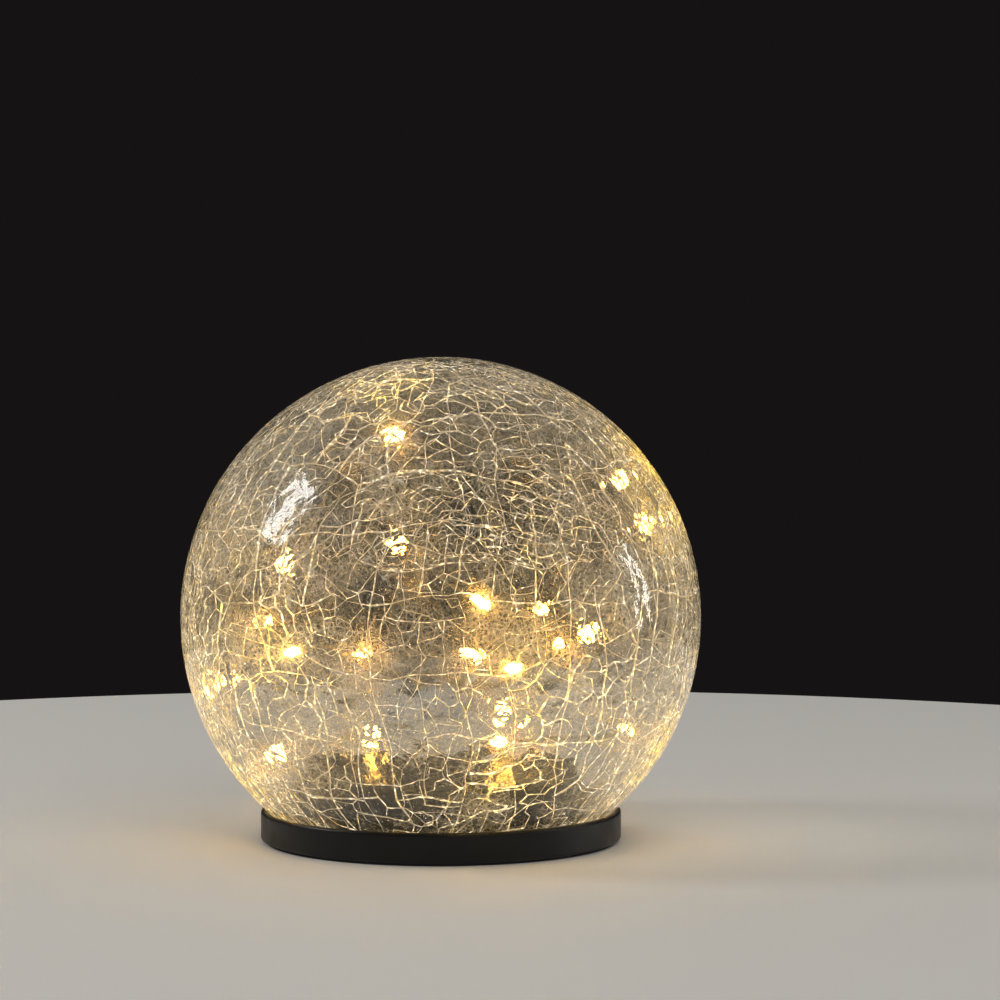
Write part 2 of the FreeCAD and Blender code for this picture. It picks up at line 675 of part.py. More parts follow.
def switch_knob():
    """Ribbed slider under the base, with the lever that works the switch. At rest it is at ON."""
    x = -SWITCH_STEP
    half_x, half_y = KNOB_SIZE[0] / 2, KNOB_SIZE[1] / 2
    cap_top = knob_z + KNOB_SIZE[2]
    knob = block(x - half_x, x + half_x, board_y - half_y, board_y + half_y, knob_z, cap_top)
    for i in range(KNOB_GROOVES):
        x0 = x + (i - (KNOB_GROOVES - 1) / 2) * KNOB_SIZE[0] / KNOB_GROOVES - KNOB_GROOVE / 2
        x1, top = x0 + KNOB_GROOVE, knob_z + KNOB_GROOVE
        knob = knob.cut(block(x0, x1, board_y - half_y, board_y + half_y, knob_z, top))
    lever = SWITCH_LEVER / 2
    lever_top = switch_bottom_z + LEVER_DEPTH
    return knob.fuse(block(x - lever, x + lever, board_y - lever, board_y + lever, cap_top, lever_top))


def lane_point(degrees, inset, drop=0.0):
    """A point in the lane round the cradle, by compass angle, inset from the lane's middle."""
    angle = math.radians(degrees)
    return V((lane - inset) * math.cos(angle), (lane - inset) * math.sin(angle), lead_z - drop)


def lead_routes():
    """Hand-laid routes of the two leads, from their contact plates round the cradle to the board's top."""
    (front_y, right), (back_y, left) = lead_holes()
    turn_x = cradle_x + LEAD_RUN_OUT
    bend_x = LEAD_PAD_X + LEAD_APPROACH
    pads = board_y + LEAD_PAD_BEHIND
    positive = [
        V(right * bay_half, front_y, lead_z),
        V(turn_x, front_y, lead_z),
        lane_point(11.0 - cradle_angle, 1.0),
        lane_point(-3.4 - cradle_angle, 0.0),
        lane_point(-15.4 - cradle_angle, 2.1, SLIP * 2),
        V(bend_x, pads + SLIP * 3, lead_z - SLIP * 3),
        V(LEAD_PAD_X, pads, lead_z - LEAD_DIP),
        V(LEAD_PAD_X, pads, board_top_z),
    ]
    negative = [
        V(left * bay_half, back_y, lead_z),
        V(-turn_x, back_y, lead_z),
        lane_point(170.0, 1.4),
        lane_point(182.0, 1.6),
        lane_point(194.8, 1.2),
        lane_point(180 - 12.9 + cradle_angle, 0.3),
        lane_point(180 + 1.3 + cradle_angle, 0.15),
        lane_point(180 + 14.7 + cradle_angle, 1.8, SLIP * 2),
        V(-bend_x, pads + SLIP * 2, lead_z - SLIP * 3),
        V(-LEAD_PAD_X, pads, lead_z - LEAD_DIP),
        V(-LEAD_PAD_X, pads, board_top_z),
    ]
    return {"lead_positive": positive, "lead_negative": negative}


# ---- string of lights ----------------------------------------------------------------------------------
def led_places():
    """Where each LED sits inside the ball."""
    places = []
    headroom = globe_z + inner_radius - drum_top_z
    for around, height, out in LED_SPOTS:
        z = drum_top_z + height * headroom
        flat = out * math.sqrt(inner_radius**2 - (z - globe_z) ** 2)
        places.append(V(flat * math.cos(math.radians(around)), flat * math.sin(math.radians(around)), z))
    return places


def string_route():
    """The string's route from the drum's roof, and each LED's place and direction on it.

    An LED lies halfway along its own straight run."""
    start = V(*wire_exit, drum_top_z)
    first_bend = V(*wire_exit, drum_top_z + EXIT_RUN)
    places = led_places()
    beyond = places[-1] + (places[-1] - places[-2]).normalize() * SPARE_AT_END * 2
    chain = [first_bend] + places + [beyond]
    points, leds = [start, first_bend], []
    for before, place, after in zip(chain, chain[1:], chain[2:]):
        ahead = (after - before).normalize()
        near, far = (place - before).Length, (after - place).Length
        handle = min(HANDLE_SHARE * (near + far) / 2, HANDLE_CAP * min(near, far))
        points += [place - ahead * handle, place + ahead * handle]
        leds.append((place, ahead))
    return points, leds


def led_bulb(place, ahead, wire):
    """A drop of clear resin moulded round the wire, with a pocket for the light-giving die."""
    half = BULB_LENGTH / 2
    profile = [
        line((0, -half), (BULB_TIP, -half)),
        arc((BULB_TIP, -half), (BULB_RADIUS, 0), (BULB_TIP, half)),
        line((BULB_TIP, half), (0, half)),
        line((0, half), (0, -half)),
    ]
    bulb = revolve(profile).cut(led_die_shape())
    bulb.Placement = FreeCAD.Placement(place, FreeCAD.Rotation(UP, ahead))
    return bulb.cut(wire)


def led_die_shape():
    """The die before it is placed, beside the wire's axis."""
    length, width, thick = DIE_SIZE
    inner = WIRE_RADIUS + BULB_BORE_GAP + 0.02
    return block(inner, inner + thick, -width / 2, width / 2, -length / 2, length / 2)


def led_die(place, ahead):
    """The die that gives the light, in its bulb."""
    die = led_die_shape()
    die.Placement = FreeCAD.Placement(place, FreeCAD.Rotation(UP, ahead))
    return die


def wire_grommet():
    """Rubber bush in the drum's roof, sealed round the wire."""
    x, y = wire_exit
    bush = rod(GROMMET_BODY, drum_roof_z, drum_top_z, x, y)
    top = drum_top_z + GROMMET_RISE
    flange = rod(GROMMET_FLANGE, drum_top_z, top, x, y)
    flange = flange.makeFillet(GROMMET_RISE / 2, edges_at(flange, lambda p: p.z > top - 1e-6))
    bore = rod(WIRE_RADIUS + GROMMET_GAP, drum_roof_z, top, x, y)
    return bush.fuse(flange).cut(bore).removeSplitter()


def save_globe():
    """The ball and what seals it."""
    save("glass_globe", glass_globe())
    save("glass_seal", glass_seal())
    save("silicone_bead", silicone_bead())


def save_base():
    """The tray, its feet and its screws."""
    save("base_tray", base_tray())
    for i, (x, y) in enumerate(foot_spots()):
        save(f"rubber_foot_{i + 1}", rubber_foot(x, y))
    save("housing_screws", *[housing_screw(x, y) for x, y in post_spots()])
    save("door_insert", door_insert())


def save_battery_bay():
    """The drum with the cradle, cells, springs and plates."""
    save("battery_drum", battery_drum())
    save("battery_cradle", battery_cradle())
    for i, (y, side) in enumerate(cell_sides()):
        save(f"battery_cell_{i + 1}", battery_cell(y, side))
        save(f"contact_spring_{i + 1}", contact_spring(y, side))
    for name, plate in contact_plates().items():
        save(name, plate)


def save_door():
    """The battery door and what rides on it."""
    save("battery_door", battery_door())
    save("door_gasket", door_gasket())
    save("door_screw", door_screw())


def save_electronics():
    """The board, its components, the switch and the leads."""
    save("driver_board", driver_board())
    save("timer_chip", on_board(CHIP_SIZE, CHIP_X))
    save("board_resistors", *[on_board(RESISTOR_SIZE, x) for x in RESISTOR_XS])
    can_top_z = board_top_z + CAPACITOR_HEIGHT
    save("board_capacitor", rod(CAPACITOR_RADIUS, board_top_z, can_top_z, CAPACITOR_X, board_y))
    save("board_screws", *[board_screw(side * board_post_x) for side in (-1, 1)])
    save("slide_switch", slide_switch())
    save("switch_knob", switch_knob())
    for name, points in lead_routes().items():
        lead = tube(points, LEAD_RADIUS)
        report_route(name, points, lead, LEAD_RADIUS)
        save(name, lead)


def save_string():
    """The string's wire, bulbs and dies, and the grommet it comes out of."""
    points, leds = string_route()
    below_drum = drum_top_z - board_top_z
    wire = tube(points, WIRE_RADIUS, below_drum)
    bore = tube(points, WIRE_RADIUS + BULB_BORE_GAP)
    report_route("string_wire", points, wire, WIRE_RADIUS, below_drum)
    save("string_wire", wire)
    for i, (place, ahead) in enumerate(leds):
        save(f"led_bulb_{i + 1:02d}", led_bulb(place, ahead, bore))
    save("led_dies", *[led_die(place, ahead) for place, ahead in leds])
    save("wire_grommet", wire_grommet())


os.makedirs("parts", exist_ok=True)
save_globe()
save_base()
save_battery_bay()
save_door()
save_electronics()
save_string()
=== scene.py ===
"""Looks of a crackle glass garden globe with a string of small lights inside, on a low black base.

Metres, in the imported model's frame: +Z up, the front faces -Y. A size whose name ends in _mm is in
millimetres, and colours are sRGB hex values.
"""

import json
import logging
import math
import random
from collections.abc import Sequence
from dataclasses import dataclass, field
from enum import Enum

import bmesh
import bpy
import numpy as np
from bpy.types import GeometryNodeTree, Material, Node, NodeSocket, NodeTree, Object
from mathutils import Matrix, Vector, noise

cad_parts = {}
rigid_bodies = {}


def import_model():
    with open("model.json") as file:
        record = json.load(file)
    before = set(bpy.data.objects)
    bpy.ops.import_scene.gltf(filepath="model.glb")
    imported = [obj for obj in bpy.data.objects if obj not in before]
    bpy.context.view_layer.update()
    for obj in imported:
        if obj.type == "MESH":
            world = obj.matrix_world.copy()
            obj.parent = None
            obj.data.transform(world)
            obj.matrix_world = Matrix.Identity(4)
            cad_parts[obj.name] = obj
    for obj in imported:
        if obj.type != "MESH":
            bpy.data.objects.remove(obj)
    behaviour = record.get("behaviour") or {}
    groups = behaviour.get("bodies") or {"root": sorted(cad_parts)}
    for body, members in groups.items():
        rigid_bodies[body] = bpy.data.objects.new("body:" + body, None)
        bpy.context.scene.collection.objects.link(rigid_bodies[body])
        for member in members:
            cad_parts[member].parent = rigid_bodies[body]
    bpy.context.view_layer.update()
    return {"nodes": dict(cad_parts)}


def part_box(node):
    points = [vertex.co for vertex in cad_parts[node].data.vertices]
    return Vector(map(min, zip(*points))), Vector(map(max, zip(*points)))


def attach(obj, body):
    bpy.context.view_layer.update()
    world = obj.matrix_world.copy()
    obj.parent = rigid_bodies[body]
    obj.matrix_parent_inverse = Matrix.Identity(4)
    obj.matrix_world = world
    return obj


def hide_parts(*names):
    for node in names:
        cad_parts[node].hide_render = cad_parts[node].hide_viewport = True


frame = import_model()

MM = 0.001
PAINTED_GLOW = "glow"  # the attribute that says how near the lights a point is; it drives the painted glow
NOISE_LOW, NOISE_HIGH = 0.35, 0.65  # most of a noise texture's values lie between these
LOG = logging.getLogger("garden_globe")


# ---- shared helpers ----------------------------------------------------------------------------
def linear(hex_colour: str) -> tuple[float, float, float, float]:
    """Turns an sRGB colour into the linear values that shaders take.

    Args:
        hex_colour: the colour as "#RRGGBB".

    Returns:
        Linear red, green, blue and an alpha of 1.
    """
    channels = [int(hex_colour[i : i + 2], 16) / 255 for i in (1, 3, 5)]
    curved = [c / 12.92 if c <= 0.04045 else ((c + 0.055) / 1.055) ** 2.4 for c in channels]
    return (*curved, 1.0)


def add_node(
    tree: NodeTree,
    kind: str,
    settings: dict[str | int, object] | None = None,
    links: dict[str | int, NodeSocket] | None = None,
    stops: Sequence[tuple[float, str]] = (),
) -> Node:
    """Adds a node with its settings and what feeds it.

    Args:
        tree: the node tree to add to.
        kind: the node's type name.
        settings: values by property name, or else by input name or number.
        links: sockets that feed the node's inputs, by input name or number.
        stops: positions and hex colours of a colour ramp, in rising order.

    Returns:
        The new node.
    """
    node = tree.nodes.new(kind)
    for name, value in (settings or {}).items():
        if isinstance(name, str) and hasattr(node, name):
            setattr(node, name, value)
        else:
            node.inputs[name].default_value = value
    for number, (position, colour) in enumerate(stops):
        elements = node.color_ramp.elements
        stop = elements[number] if number < 2 else elements.new(position)  # a ramp starts with two
        stop.position = position
        stop.color = linear(colour)
    for name, source in (links or {}).items():
        tree.links.new(source, node.inputs[name])
    return node


def clouds(tree: NodeTree, size_mm: float, detail: float) -> NodeSocket:
    """Adds a soft random pattern that stays with the piece.

    Args:
        tree: the material's node tree.
        size_mm: width of a patch.
        detail: how many finer layers lie on it.

    Returns:
        The pattern's value.
    """
    place = add_node(tree, "ShaderNodeTexCoord")
    settings = {"Scale": 1 / (2 * size_mm * MM), "Detail": detail}
    pattern = add_node(tree, "ShaderNodeTexNoise", settings, {"Vector": place.outputs["Object"]})
    return pattern.outputs["Fac"]


def gloss(tree: NodeTree, size_mm: float, roughness: tuple[float, float]) -> NodeSocket:
    """Adds a roughness that varies in patches.

    Args:
        tree: the material's node tree.
        size_mm: width of a patch.
        roughness: the lowest and the highest.

    Returns:
        The roughness.
    """
    ends = {"From Min": NOISE_LOW, "From Max": NOISE_HIGH}
    ends |= {"To Min": roughness[0], "To Max": roughness[1]}
    values = {"Value": clouds(tree, size_mm, detail=3.0)}
    return add_node(tree, "ShaderNodeMapRange", ends, values).outputs["Result"]


def clear_to_lamps(tree: NodeTree, shader: Node, tint: str) -> Node:
    """Lets the lamps' light through a shader, so that the piece puts nothing in its shadow.

    Args:
        tree: the material's node tree.
        shader: what the eye sees.
        tint: the colour that the light takes on.

    Returns:
        The shader for both.
    """
    clear = add_node(tree, "ShaderNodeBsdfTransparent", {"Color": linear(tint)})
    rays = add_node(tree, "ShaderNodeLightPath")
    links = {0: rays.outputs["Is Shadow Ray"], 1: shader.outputs[0], 2: clear.outputs[0]}
    return add_node(tree, "ShaderNodeMixShader", None, links)


def select_only(piece: Object) -> None:
    """Leaves edit mode and makes a piece the one selected and active object.

    Args:
        piece: the object.
    """
    if bpy.context.object and bpy.context.object.mode != "OBJECT":
        bpy.ops.object.mode_set(mode="OBJECT")
    bpy.ops.object.select_all(action="DESELECT")
    piece.select_set(True)
    bpy.context.view_layer.objects.active = piece


def open_mesh(piece: Object, kind: str, action: str) -> None:
    """Opens a piece in edit mode.

    Args:
        piece: the object.
        kind: what is selected: VERT, EDGE or FACE.
        action: SELECT for everything or DESELECT for nothing.
    """
    select_only(piece)
    bpy.ops.object.mode_set(mode="EDIT")
    bpy.ops.mesh.select_mode(type=kind)
    bpy.ops.mesh.select_all(action=action)


def close_mesh() -> None:
    """Goes back to object mode."""
    bpy.ops.object.mode_set(mode="OBJECT")


def finish_modifiers(piece: Object) -> None:
    """Applies a piece's modifiers in order.

    Args:
        piece: the object.
    """
    select_only(piece)
    for name in [modifier.name for modifier in piece.modifiers]:
        bpy.ops.object.modifier_apply(modifier=name)


def settle(piece: Object, place: Vector) -> None:
    """Moves a piece that was modelled at the origin and puts its place in its mesh.

    Args:
        piece: the object.
        place: where its origin goes.
    """
    select_only(piece)
    piece.location = place
    bpy.ops.object.transform_apply(location=True, rotation=True, scale=True)


def vertex_array(piece: Object) -> np.ndarray:
    """Reads a mesh's points.

    Args:
        piece: the object.

    Returns:
        Rows of x, y, z.
    """
    flat = np.zeros(len(piece.data.vertices) * 3)
    piece.data.vertices.foreach_get("co", flat)
    return flat.reshape(-1, 3)


def set_vertices(piece: Object, points: np.ndarray) -> None:
    """Writes a mesh's points back from rows of x, y, z."""
    piece.data.vertices.foreach_set("co", points.ravel())
    piece.data.update()


def cut_below(piece: Object, height: float) -> None:
    """Cuts a surface off flat and leaves the cut open.

    Args:
        piece: the object.
        height: where the cut lies in it.
    """
    open_mesh(piece, "FACE", "SELECT")
    bpy.ops.mesh.bisect(plane_co=(0, 0, height), plane_no=(0, 0, 1), clear_inner=True)
    close_mesh()


def wear_piece(piece: Object, name: str, material: Material, body: str) -> None:
    """Names a new piece, dresses it and sets it on its body.

    Args:
        piece: the finished mesh object.
        name: its name.
        material: its material.
        body: the CAD body that carries it.
    """
    piece.name = name
    piece.data.name = name
    piece.data.materials.clear()
    piece.data.materials.append(material)
    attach(piece, body)
    LOG.info("%s: %d faces", name, len(piece.data.polygons))


def dress(nodes: Sequence[str], material: Material) -> None:
    """Gives CAD nodes a finish in place of their plain one.

    Args:
        nodes: the nodes' names.
        material: the finish.
    """
    for name in nodes:
        slots = frame["nodes"][name].data.materials
        slots.clear()
        slots.append(material)
        LOG.info("%s: %s", name, material.name)


def numbered(prefix: str) -> list[str]:
    """Names of the CAD nodes that start with prefix, in order."""
    return sorted(name for name in frame["nodes"] if name.startswith(prefix))


def box_middle(node: str) -> Vector:
    """The middle of a CAD node's box."""
    low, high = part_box(node)
    return (low + high) / 2


# ---- finishes ----------------------------------------------------------------------------------
@dataclass(frozen=True)
class Finish:
    """A finish by name; each kind of finish adds its own shader."""

    name: str

    def make(self) -> Material:
        """Builds the material.

        Returns:
            The material, with its shader joined to its output.
        """
        material = bpy.data.materials.new(self.name)
        material.use_nodes = True
        tree = material.node_tree
        tree.nodes.clear()
        add_node(tree, "ShaderNodeOutputMaterial", None, {"Surface": self.shade(tree).outputs[0]})
        return material

    def shade(self, tree: NodeTree) -> Node:
        """Adds the finish's nodes to a material's tree and returns its shader."""
        raise NotImplementedError


@dataclass(frozen=True)
class Drifting(Finish):
    """A finish whose tone and gloss drift a little from place to place, over a fine grain."""

    low: str
    high: str
    roughness: tuple[float, float]
    grain_mm: float = 0.35
    grain_depth_mm: float = 0.02
    tone_mm: float = 9.0
    gloss_mm: float = 4.0

    def coat(self, tree: NodeTree, settings: dict[str, float]) -> Node:
        """Adds the tone, gloss and grain, and the shader that they feed.

        Args:
            tree: the material's node tree.
            settings: the shader's plain values.

        Returns:
            The shader.
        """
        stops = ((NOISE_LOW, self.low), (NOISE_HIGH, self.high))
        links = {"Fac": clouds(tree, self.tone_mm, detail=3.0)}
        tone = add_node(tree, "ShaderNodeValToRGB", None, links, stops)
        relief = {"Strength": 1.0, "Distance": self.grain_depth_mm * MM}
        links = {"Height": clouds(tree, self.grain_mm, detail=2.0)}
        bump = add_node(tree, "ShaderNodeBump", relief, links)
        links = {
            "Base Color": tone.outputs["Color"],
            "Roughness": gloss(tree, self.gloss_mm, self.roughness),
            "Normal": bump.outputs["Normal"],
        }
        return add_node(tree, "ShaderNodeBsdfPrincipled", settings, links)


@dataclass(frozen=True)
class MouldedPlastic(Drifting):
    """Injection-moulded ABS, PVC, rubber or silicone: an even colour with a soft sheen.

    The mould's steel leaves a fine grain, drawn a few times coarser than real so that it shows.
    """

    ior: float = 1.53
    specular: float = 0.5

    def shade(self, tree: NodeTree) -> Node:
        """Adds a non-metal under the grain and returns its shader."""
        return self.coat(tree, {"IOR": self.ior, "Specular IOR Level": self.specular})


@dataclass(frozen=True)
class PlatedMetal(Drifting):
    """Plated or bare metal: a bright sheen, softened by the fine unevenness of its skin."""

    grain_mm: float = 0.3
    grain_depth_mm: float = 0.008
    tone_mm: float = 2.0
    gloss_mm: float = 0.3

    def shade(self, tree: NodeTree) -> Node:
        """Adds a metal under the grain and returns its shader."""
        return self.coat(tree, {"Metallic": 1.0})


@dataclass(frozen=True)
class CellSleeve(Finish):
    """Printed shrink sleeve of a dry cell: dark and glossy, with a copper-coloured band.

    The band is at the positive end, and bare steel shows at both ends.
    """

    positive_x: float
    toward: int
    length_mm: float = 50.5
    band_mm: float = 13.0
    nub_mm: float = 1.6
    rim_share: float = 0.012
    body: str = "#23282E"
    band: str = "#A86F3E"
    end: str = "#B9BBBD"
    roughness: tuple[float, float] = (0.22, 0.34)
    gloss_mm: float = 3.0

    def shade(self, tree: NodeTree) -> Node:
        """Adds the sleeve, with its bands measured along X from the positive end.

        Args:
            tree: the material's node tree.

        Returns:
            The shader.
        """
        place = add_node(tree, "ShaderNodeTexCoord")
        shift = {"Location": (-self.toward * self.positive_x, 0, 0), "Scale": (self.toward, 1, 1)}
        along = add_node(tree, "ShaderNodeMapping", shift, {"Vector": place.outputs["Object"]})
        axes = add_node(tree, "ShaderNodeSeparateXYZ", None, {"Vector": along.outputs["Vector"]})
        ends = {"From Min": -self.length_mm * MM, "From Max": 0.0}
        share = add_node(tree, "ShaderNodeMapRange", ends, {"Value": axes.outputs["X"]})
        stops = (
            (0.0, self.end),
            (self.rim_share, self.body),
            (1 - self.band_mm / self.length_mm, self.band),
            (1 - self.nub_mm / self.length_mm, self.end),
        )
        links = {"Fac": share.outputs["Result"]}
        print_colour = add_node(tree, "ShaderNodeValToRGB", None, links, stops)
        print_colour.color_ramp.interpolation = "CONSTANT"
        rough = gloss(tree, self.gloss_mm, self.roughness)
        links = {"Base Color": print_colour.outputs["Color"], "Roughness": rough}
        return add_node(tree, "ShaderNodeBsdfPrincipled", {"IOR": 1.5, "Metallic": 0.35}, links)


@dataclass(frozen=True)
class SolderMask(Finish):
    """Green lacquer over copper tracks on a circuit board: paler where a track runs under it."""

    name: str = "green_solder_mask"
    bare: str = "#0E4A2A"
    track: str = "#1F6B3C"
    track_edge: tuple[float, float] = (0.55, 0.62)
    track_mm: float = 1.8
    track_height_mm: float = 0.03

    def shade(self, tree: NodeTree) -> Node:
        """Adds the lacquer with its tracks along Y.

        Args:
            tree: the material's node tree.

        Returns:
            The shader.
        """
        place = add_node(tree, "ShaderNodeTexCoord")
        bands = {
            "wave_type": "BANDS",
            "bands_direction": "X",
            "Scale": math.pi / (20 * self.track_mm * MM),  # at 1 its wave turns 20 radians a metre
            "Distortion": 3.0,
            "Detail": 0.0,
        }
        tracks = add_node(tree, "ShaderNodeTexWave", bands, {"Vector": place.outputs["Object"]})
        stops = ((self.track_edge[0], self.bare), (self.track_edge[1], self.track))
        colour = add_node(tree, "ShaderNodeValToRGB", None, {"Fac": tracks.outputs["Fac"]}, stops)
        height = {"Strength": 0.6, "Distance": self.track_height_mm * MM}
        bump = add_node(tree, "ShaderNodeBump", height, {"Height": colour.outputs["Color"]})
        links = {"Base Color": colour.outputs["Color"], "Normal": bump.outputs["Normal"]}
        return add_node(tree, "ShaderNodeBsdfPrincipled", {"Roughness": 0.28, "IOR": 1.55}, links)


@dataclass(frozen=True)
class Patches:
    """Random patches: their width, and the noise values at which they begin and are full."""

    size_mm: float
    begin: float
    full: float

    def mask(self, tree: NodeTree) -> NodeSocket:
        """Adds a mask that rises from 0 outside the patches to 1 inside.

        Args:
            tree: the material's node tree.

        Returns:
            The mask.
        """
        ends = {"From Min": self.begin, "From Max": self.full}
        values = {"Value": clouds(tree, self.size_mm, detail=2.0)}
        return add_node(tree, "ShaderNodeMapRange", ends, values).outputs["Result"]


@dataclass(frozen=True)
class PaintedLampGlow:
    """Painted light: an emission standing in for the string's light on the glass, pale and weak far
    off, gold and strong near.

    Its strength flickers along the piece, from a dull share to a painted sparkle many times brighter.
    """

    pale: str
    gold: str
    rest: float
    near: float
    sparkle: float
    dull: float = 0.55
    sparkle_size_mm: float = 0.5
    sparkle_ends: tuple[float, float] = (0.52, 0.68)
    gold_glow_patches: Patches = Patches(1.5, 0.4, 0.65)
    gold_glow_share: float = 0.22
    gold_from: float = 0.42

    def emission(self, tree: NodeTree) -> dict[str, NodeSocket]:
        """Adds the nodes that turn the piece's glow attribute into painted light, an emission.

        Args:
            tree: the material's node tree.

        Returns:
            What feeds the shader's emission colour and strength.
        """
        # painted light: the glow attribute stands in for the lamps' light
        glow = add_node(tree, "ShaderNodeAttribute", {"attribute_name": PAINTED_GLOW}).outputs["Fac"]
        ends = {"To Min": self.rest, "To Max": self.near}
        level = add_node(tree, "ShaderNodeMapRange", ends, {"Value": glow})
        ends = {"From Min": self.sparkle_ends[0], "From Max": self.sparkle_ends[1]}
        ends |= {"To Min": self.dull, "To Max": self.sparkle}
        values = {"Value": clouds(tree, self.sparkle_size_mm, detail=1.0)}
        flicker = add_node(tree, "ShaderNodeMapRange", ends, values)
        links = {0: level.outputs[0], 1: flicker.outputs[0]}
        strength = add_node(tree, "ShaderNodeMath", {"operation": "MULTIPLY"}, links)
        # random patches where the painted glow turns gold sooner
        settings = {"operation": "MULTIPLY_ADD", 1: self.gold_glow_share}
        links = {0: self.gold_glow_patches.mask(tree), 2: glow}
        uneven = add_node(tree, "ShaderNodeMath", settings, links)
        stops = ((0.0, self.pale), (self.gold_from, self.gold))
        colour = add_node(tree, "ShaderNodeValToRGB", None, {"Fac": uneven.outputs[0]}, stops)
        return {"Emission Color": colour.outputs["Color"], "Emission Strength": strength.outputs[0]}


@dataclass(frozen=True)
class BlownGlass(Finish):
    """Soda-lime glass, blown and quenched: clear with a warm grey cast and uneven on both faces.

    Hair-fine crazing too thin to model lies between the modelled cracks and has painted light in it,
    a glow painted from how near the lights are. Frosted specks spread each small light into a halo,
    and a cloud of specks round each light has painted glow too. The crazing and the specks are drawn
    coarser than real, to show.
    """

    name: str = "blown_crackle_glass"
    tint: str = "#ECECEA"
    # painted light in the crazing and the halos
    light: PaintedLampGlow = PaintedLampGlow("#D0CEC9", "#FFCE54", rest=0.05, near=1.5, sparkle=4.0)
    ior: float = 1.46
    smooth: float = 0.02
    frosted: float = 0.5
    frosted_share: tuple[float, float] = (0.04, 0.35)
    frost_specks: Patches = Patches(0.45, 0.42, 0.6)
    frost_areas: Patches = Patches(8.0, 0.42, 0.6)
    painted_glow_specks: Patches = Patches(0.45, 0.5, 0.6)
    halo: tuple[float, float] = (0.25, 0.9)
    halo_share: float = 0.55
    cell_mm: float = 3.4
    hair_mm: float = 0.12
    crazed: Patches = Patches(9.0, 0.48, 0.6)
    fine_cell_mm: float = 1.7
    fine_hair_mm: float = 0.1
    finely_crazed: Patches = Patches(5.0, 0.54, 0.62)
    crazing_share: float = 0.5
    hair_through: float = 0.4
    hair_roughness: float = 0.3
    wave_mm: float = 4.0
    warp_mm: float = 0.6
    dome_mm: float = 6.5
    dome_share: float = 1.4
    relief_mm: float = 0.17

    def wander(self, tree: NodeTree) -> NodeSocket:
        """Adds a place on the piece that wanders, so that no line in the glass is straight.

        Args:
            tree: the material's node tree.

        Returns:
            The place.
        """
        place = add_node(tree, "ShaderNodeTexCoord").outputs["Object"]
        settings = {"Scale": 1 / (self.wave_mm * MM), "Detail": 2.0}
        drift = add_node(tree, "ShaderNodeTexNoise", settings, {"Vector": place})
        settings = {"operation": "MULTIPLY_ADD", 1: (self.warp_mm * 2 * MM,) * 3}
        links = {0: drift.outputs["Color"], 2: place}
        return add_node(tree, "ShaderNodeVectorMath", settings, links).outputs["Vector"]

    def crazing(self, tree: NodeTree, where: NodeSocket) -> NodeSocket:
        """Adds the mask of the hair-fine lines, which part a wide and a fine set of cells.

        Args:
            tree: the material's node tree.
            where: the place on the piece.

        Returns:
            The mask.
        """
        wide = (self.cell_mm, self.hair_mm, self.crazed)
        fine = (self.fine_cell_mm, self.fine_hair_mm, self.finely_crazed)
        parts = []
        for cell_mm, hair_mm, areas in (wide, fine):
            cells = {"feature": "DISTANCE_TO_EDGE", "Scale": 1 / (cell_mm * MM)}
            edges = add_node(tree, "ShaderNodeTexVoronoi", cells, {"Vector": where})
            ends = {"From Max": hair_mm / cell_mm, "To Min": 1.0, "To Max": 0.0}
            lines = add_node(tree, "ShaderNodeMapRange", ends, {"Value": edges.outputs["Distance"]})
            links = {0: lines.outputs[0], 1: areas.mask(tree)}
            parts.append(add_node(tree, "ShaderNodeMath", {"operation": "MULTIPLY"}, links))
        links = {number: part.outputs[0] for number, part in enumerate(parts)}
        both = add_node(tree, "ShaderNodeMath", {"operation": "MAXIMUM"}, links)
        settings = {"operation": "MULTIPLY", 1: self.crazing_share}
        return add_node(tree, "ShaderNodeMath", settings, {0: both.outputs[0]}).outputs[0]

    def relief(self, tree: NodeTree, where: NodeSocket) -> NodeSocket:
        """Adds the bump of waves with a low dome on each cell, which breaks up every reflection.

        Args:
            tree: the material's node tree.
            where: the place on the piece.

        Returns:
            The normal.
        """
        waves = {"Scale": 1 / (self.wave_mm * MM), "Detail": 2.3}
        wavy = add_node(tree, "ShaderNodeTexNoise", waves, {"Vector": where})
        cells = {"feature": "F1", "Scale": 1 / (self.dome_mm * MM)}
        domes = add_node(tree, "ShaderNodeTexVoronoi", cells, {"Vector": where})
        settings = {"operation": "MULTIPLY_ADD", 1: -self.dome_share}
        links = {0: domes.outputs["Distance"], 2: wavy.outputs["Fac"]}
        height = add_node(tree, "ShaderNodeMath", settings, links)
        settings = {"Strength": 1.0, "Distance": self.relief_mm * MM}
        return add_node(tree, "ShaderNodeBump", settings, {"Height": height.outputs[0]}).outputs[0]

    def frosting(self, tree: NodeTree) -> NodeSocket:
        """Adds the share of the face that is frosted: specks, with more of them in some areas.

        Args:
            tree: the material's node tree.

        Returns:
            The share.
        """
        links = {0: self.frost_specks.mask(tree), 1: self.frost_areas.mask(tree)}
        both = add_node(tree, "ShaderNodeMath", {"operation": "MULTIPLY"}, links)
        ends = {"To Min": self.frosted_share[0], "To Max": self.frosted_share[1]}
        return add_node(tree, "ShaderNodeMapRange", ends, {"Value": both.outputs[0]}).outputs[0]

